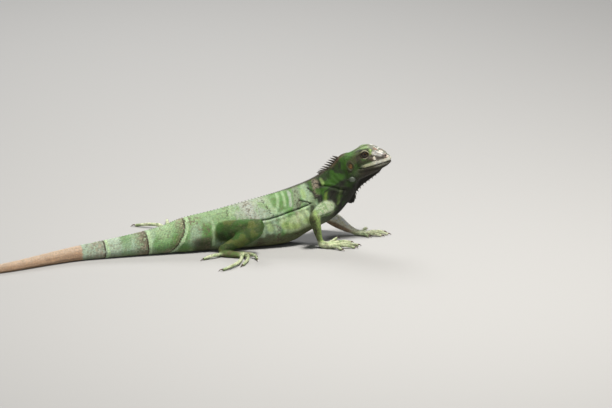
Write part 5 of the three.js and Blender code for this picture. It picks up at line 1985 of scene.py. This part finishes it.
def make_nostrils(skin):
    """A low rim round each nostril, a round section carried round an oval, and a near-black ball in its
    opening as painted shade.
    """
    rim_material = plain_material("nostril rim", tone(150, 128, 118), tone(196, 180, 168), 0.5)
    # painted shade: a near-black fill for the dark inside of the nostril
    pit_material = plain_material("nostril hollow", tone(18, 13, 11), tone(34, 25, 20), 0.6)
    rings, sides = 36, 10
    turn = whole_turn(rings)
    around = whole_turn(sides)
    for name, side in SIDES.items():
        t, y, h = NOSTRIL["at"]
        out = unit(HEAD3 @ np.array([-0.55, side, 0.25]))
        back, upward = (unit(HEAD3[:, k] - out * (HEAD3[:, k] @ out)) for k in (0, 2))
        middle = settled(in_head([[t - 0.3, side * (y + 1.2), h]]), skin)[0] + out * 0.25
        spoke = np.cos(turn)[:, None] * back * NOSTRIL["radii"][0] - side * np.sin(turn)[:, None] * upward \
            * NOSTRIL["radii"][1]
        swell = (0.36 + 0.1 * np.cos(turn - 2.6))[:, None, None]
        grid = middle + spoke[:, None, :] + swell * (np.cos(around)[None, :, None] * unit(spoke)[:, None, :]
                                                     + np.sin(around)[None, :, None] * out)
        faces = [ring_faces(rings, sides, True)]
        placed(f"nostril_{name}", grid.reshape(-1, 3), faces, rim_material, "head_skin")
        # near-black ball standing for the nostril's shade
        points, groups = ball(middle - out * 0.35, np.array([*NOSTRIL["radii"], 0.4]) * 0.98,
                              upright(np.column_stack([back, upward, out])), 24)
        placed(f"nostril_hollow_{name}", points, groups, pit_material, "head_skin")


# ---------- claws


def claw_tube(path, aim_way, size):
    """A claw: forward from the toe, arched, then down to the ground, thinning to its tip."""
    x, y, z = path[-1]
    wx, wy, lean = aim_way
    flat = math.hypot(wx, wy)
    rows = []
    for share, rise in zip((-0.1, 0.3, 0.65, 1), (0.1, 0.6, 0.2, max(0.45 - z, -1.8))):
        reach = size["claw"] * share
        half = size["claw_root"] * (1 - 0.76 * max(0, share))
        height = z + rise + lean * reach * 0.3
        rows.append([x + wx / flat * reach, y + wy / flat * reach, max(height, 0.45),
                     half * 0.75, half, half])
    return tube(rows)


def make_claws():
    """Twenty claws, one piece for each foot."""
    horn = plain_material("dark horn", tone(52, 42, 32), tone(104, 84, 62), 0.35, coat=0.3, grain=500)
    for key, leg in LEGS.items():
        size = DIGIT_SIZE[key.split("_")[0]]
        solids = [tube_solid(claw_tube(path, way, size), 18, 12, -0.02) for path, way in leg["digits"]]
        obj = dressed(joined_mesh(f"claws_{key}", solids), horn, "claw")
        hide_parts(*[f"claw_{key}_{i + 1}" for i in range(len(leg["digits"]))])


# ---------- crest


ROOT_DEPTH = 1.2  # how deep a spine stands in the skin


def blade_solid(base, lean, forward, length, width, thick=0.34):
    """A crest spine: ovals along a curve that leans back more towards its tip, flattened across
    the animal and narrowing as (1 - u)^0.75."""
    rings = 9
    sides = 8
    u = np.linspace(0, 1, rings)
    up = unit(np.asarray(lean))
    centre = base - up * ROOT_DEPTH + up * (u * (length + ROOT_DEPTH))[:, None]
    centre = centre - forward * (0.18 * length * u ** 2)[:, None]
    size = width / 2 * (1 - u) ** 0.75 + 0.06
    across = unit(np.cross(up, forward))
    angle = whole_turn(sides)
    grid = centre[:, None, :] + forward * (size[:, None] * np.cos(angle))[..., None] \
        + across * ((size * thick + 0.08)[:, None] * np.sin(angle))[..., None]
    return closed_rings(grid, centre[0] - up * 0.1, centre[-1] + up * 0.12)


def ridge(share):
    """The ridge of the back at a share of the body's stations: place, way out and way forward."""
    stations, way, _, upward = tube_frame(BODY, np.array([share]))
    return stations[0, :3] + upward[0] * (stations[0, 4] - COAT), upward[0], way[0]


def make_crest():
    """Long spines on the nape and a low saw-edge down the back to the regrown tail."""
    solids = []
    nape = 10
    for i in range(nape):
        way_along = i / (nape - 1)
        place, out, forward = ridge(NAPE_START + (NAPE_END - NAPE_START) * way_along)
        length = 4.2 + 4 * math.sin(math.pi * (0.12 + 0.66 * way_along))
        solids.append(blade_solid(place, out - 0.28 * forward, forward, length, 3.7, 0.32))
    small = 92
    for i in range(small):
        way_along = i / small
        place, out, forward = ridge(CREST_START + (NAPE_START - CREST_START) * way_along)
        length = 1.2 + 2.3 * way_along ** 2
        solids.append(blade_solid(place, out - 0.7 * forward, forward, length, 2.4))
    horn = plain_material("crest horn", tone(26, 22, 16), tone(62, 54, 38), 0.5)
    dressed(joined_mesh("crest", solids), horn, "body_skin")


def make_throat_spines():
    """Small spines down the front edge of the dewlap."""
    solids = []
    for i in range(11):
        t, h = along(DEWLAP_EDGE, np.array([0.12 + 0.48 * i / 10]))[0]
        down = HEAD3 @ unit(np.array([-0.45, 0, -1]))
        forward = HEAD3 @ unit(np.array([-1, 0, 0.45]))
        solids.append(blade_solid(in_head((t, 0, h)) - down * 0.2, down, forward, 1.3 + 0.17 * i, 2))
    horn = plain_material("throat horn", tone(34, 32, 26), tone(84, 80, 66), 0.5)
    dressed(joined_mesh("throat_spines", solids), horn, "throat_skin")


# ---------- main

make_camera()
make_stage()
skin = make_skin()
scale_material = marked_material("scales", 0.5, 2600, 0.00012, 0.84, 1.14)
skin_material = marked_material("skin between scales", 0.6, 1800, 0.0002, 0.5, 0.7)
paint(skin, "marking", marking(read_places(skin.data)))
dressed(skin, skin_material, "body_skin")
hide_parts(*[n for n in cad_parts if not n.startswith(("eye_", "eardrum_", "claw_"))])
make_coats(skin, scale_material)
make_eyes()
make_lids(scale_material)
make_ears(skin)
make_nostrils(skin)
make_claws()
make_crest()
make_throat_spines()
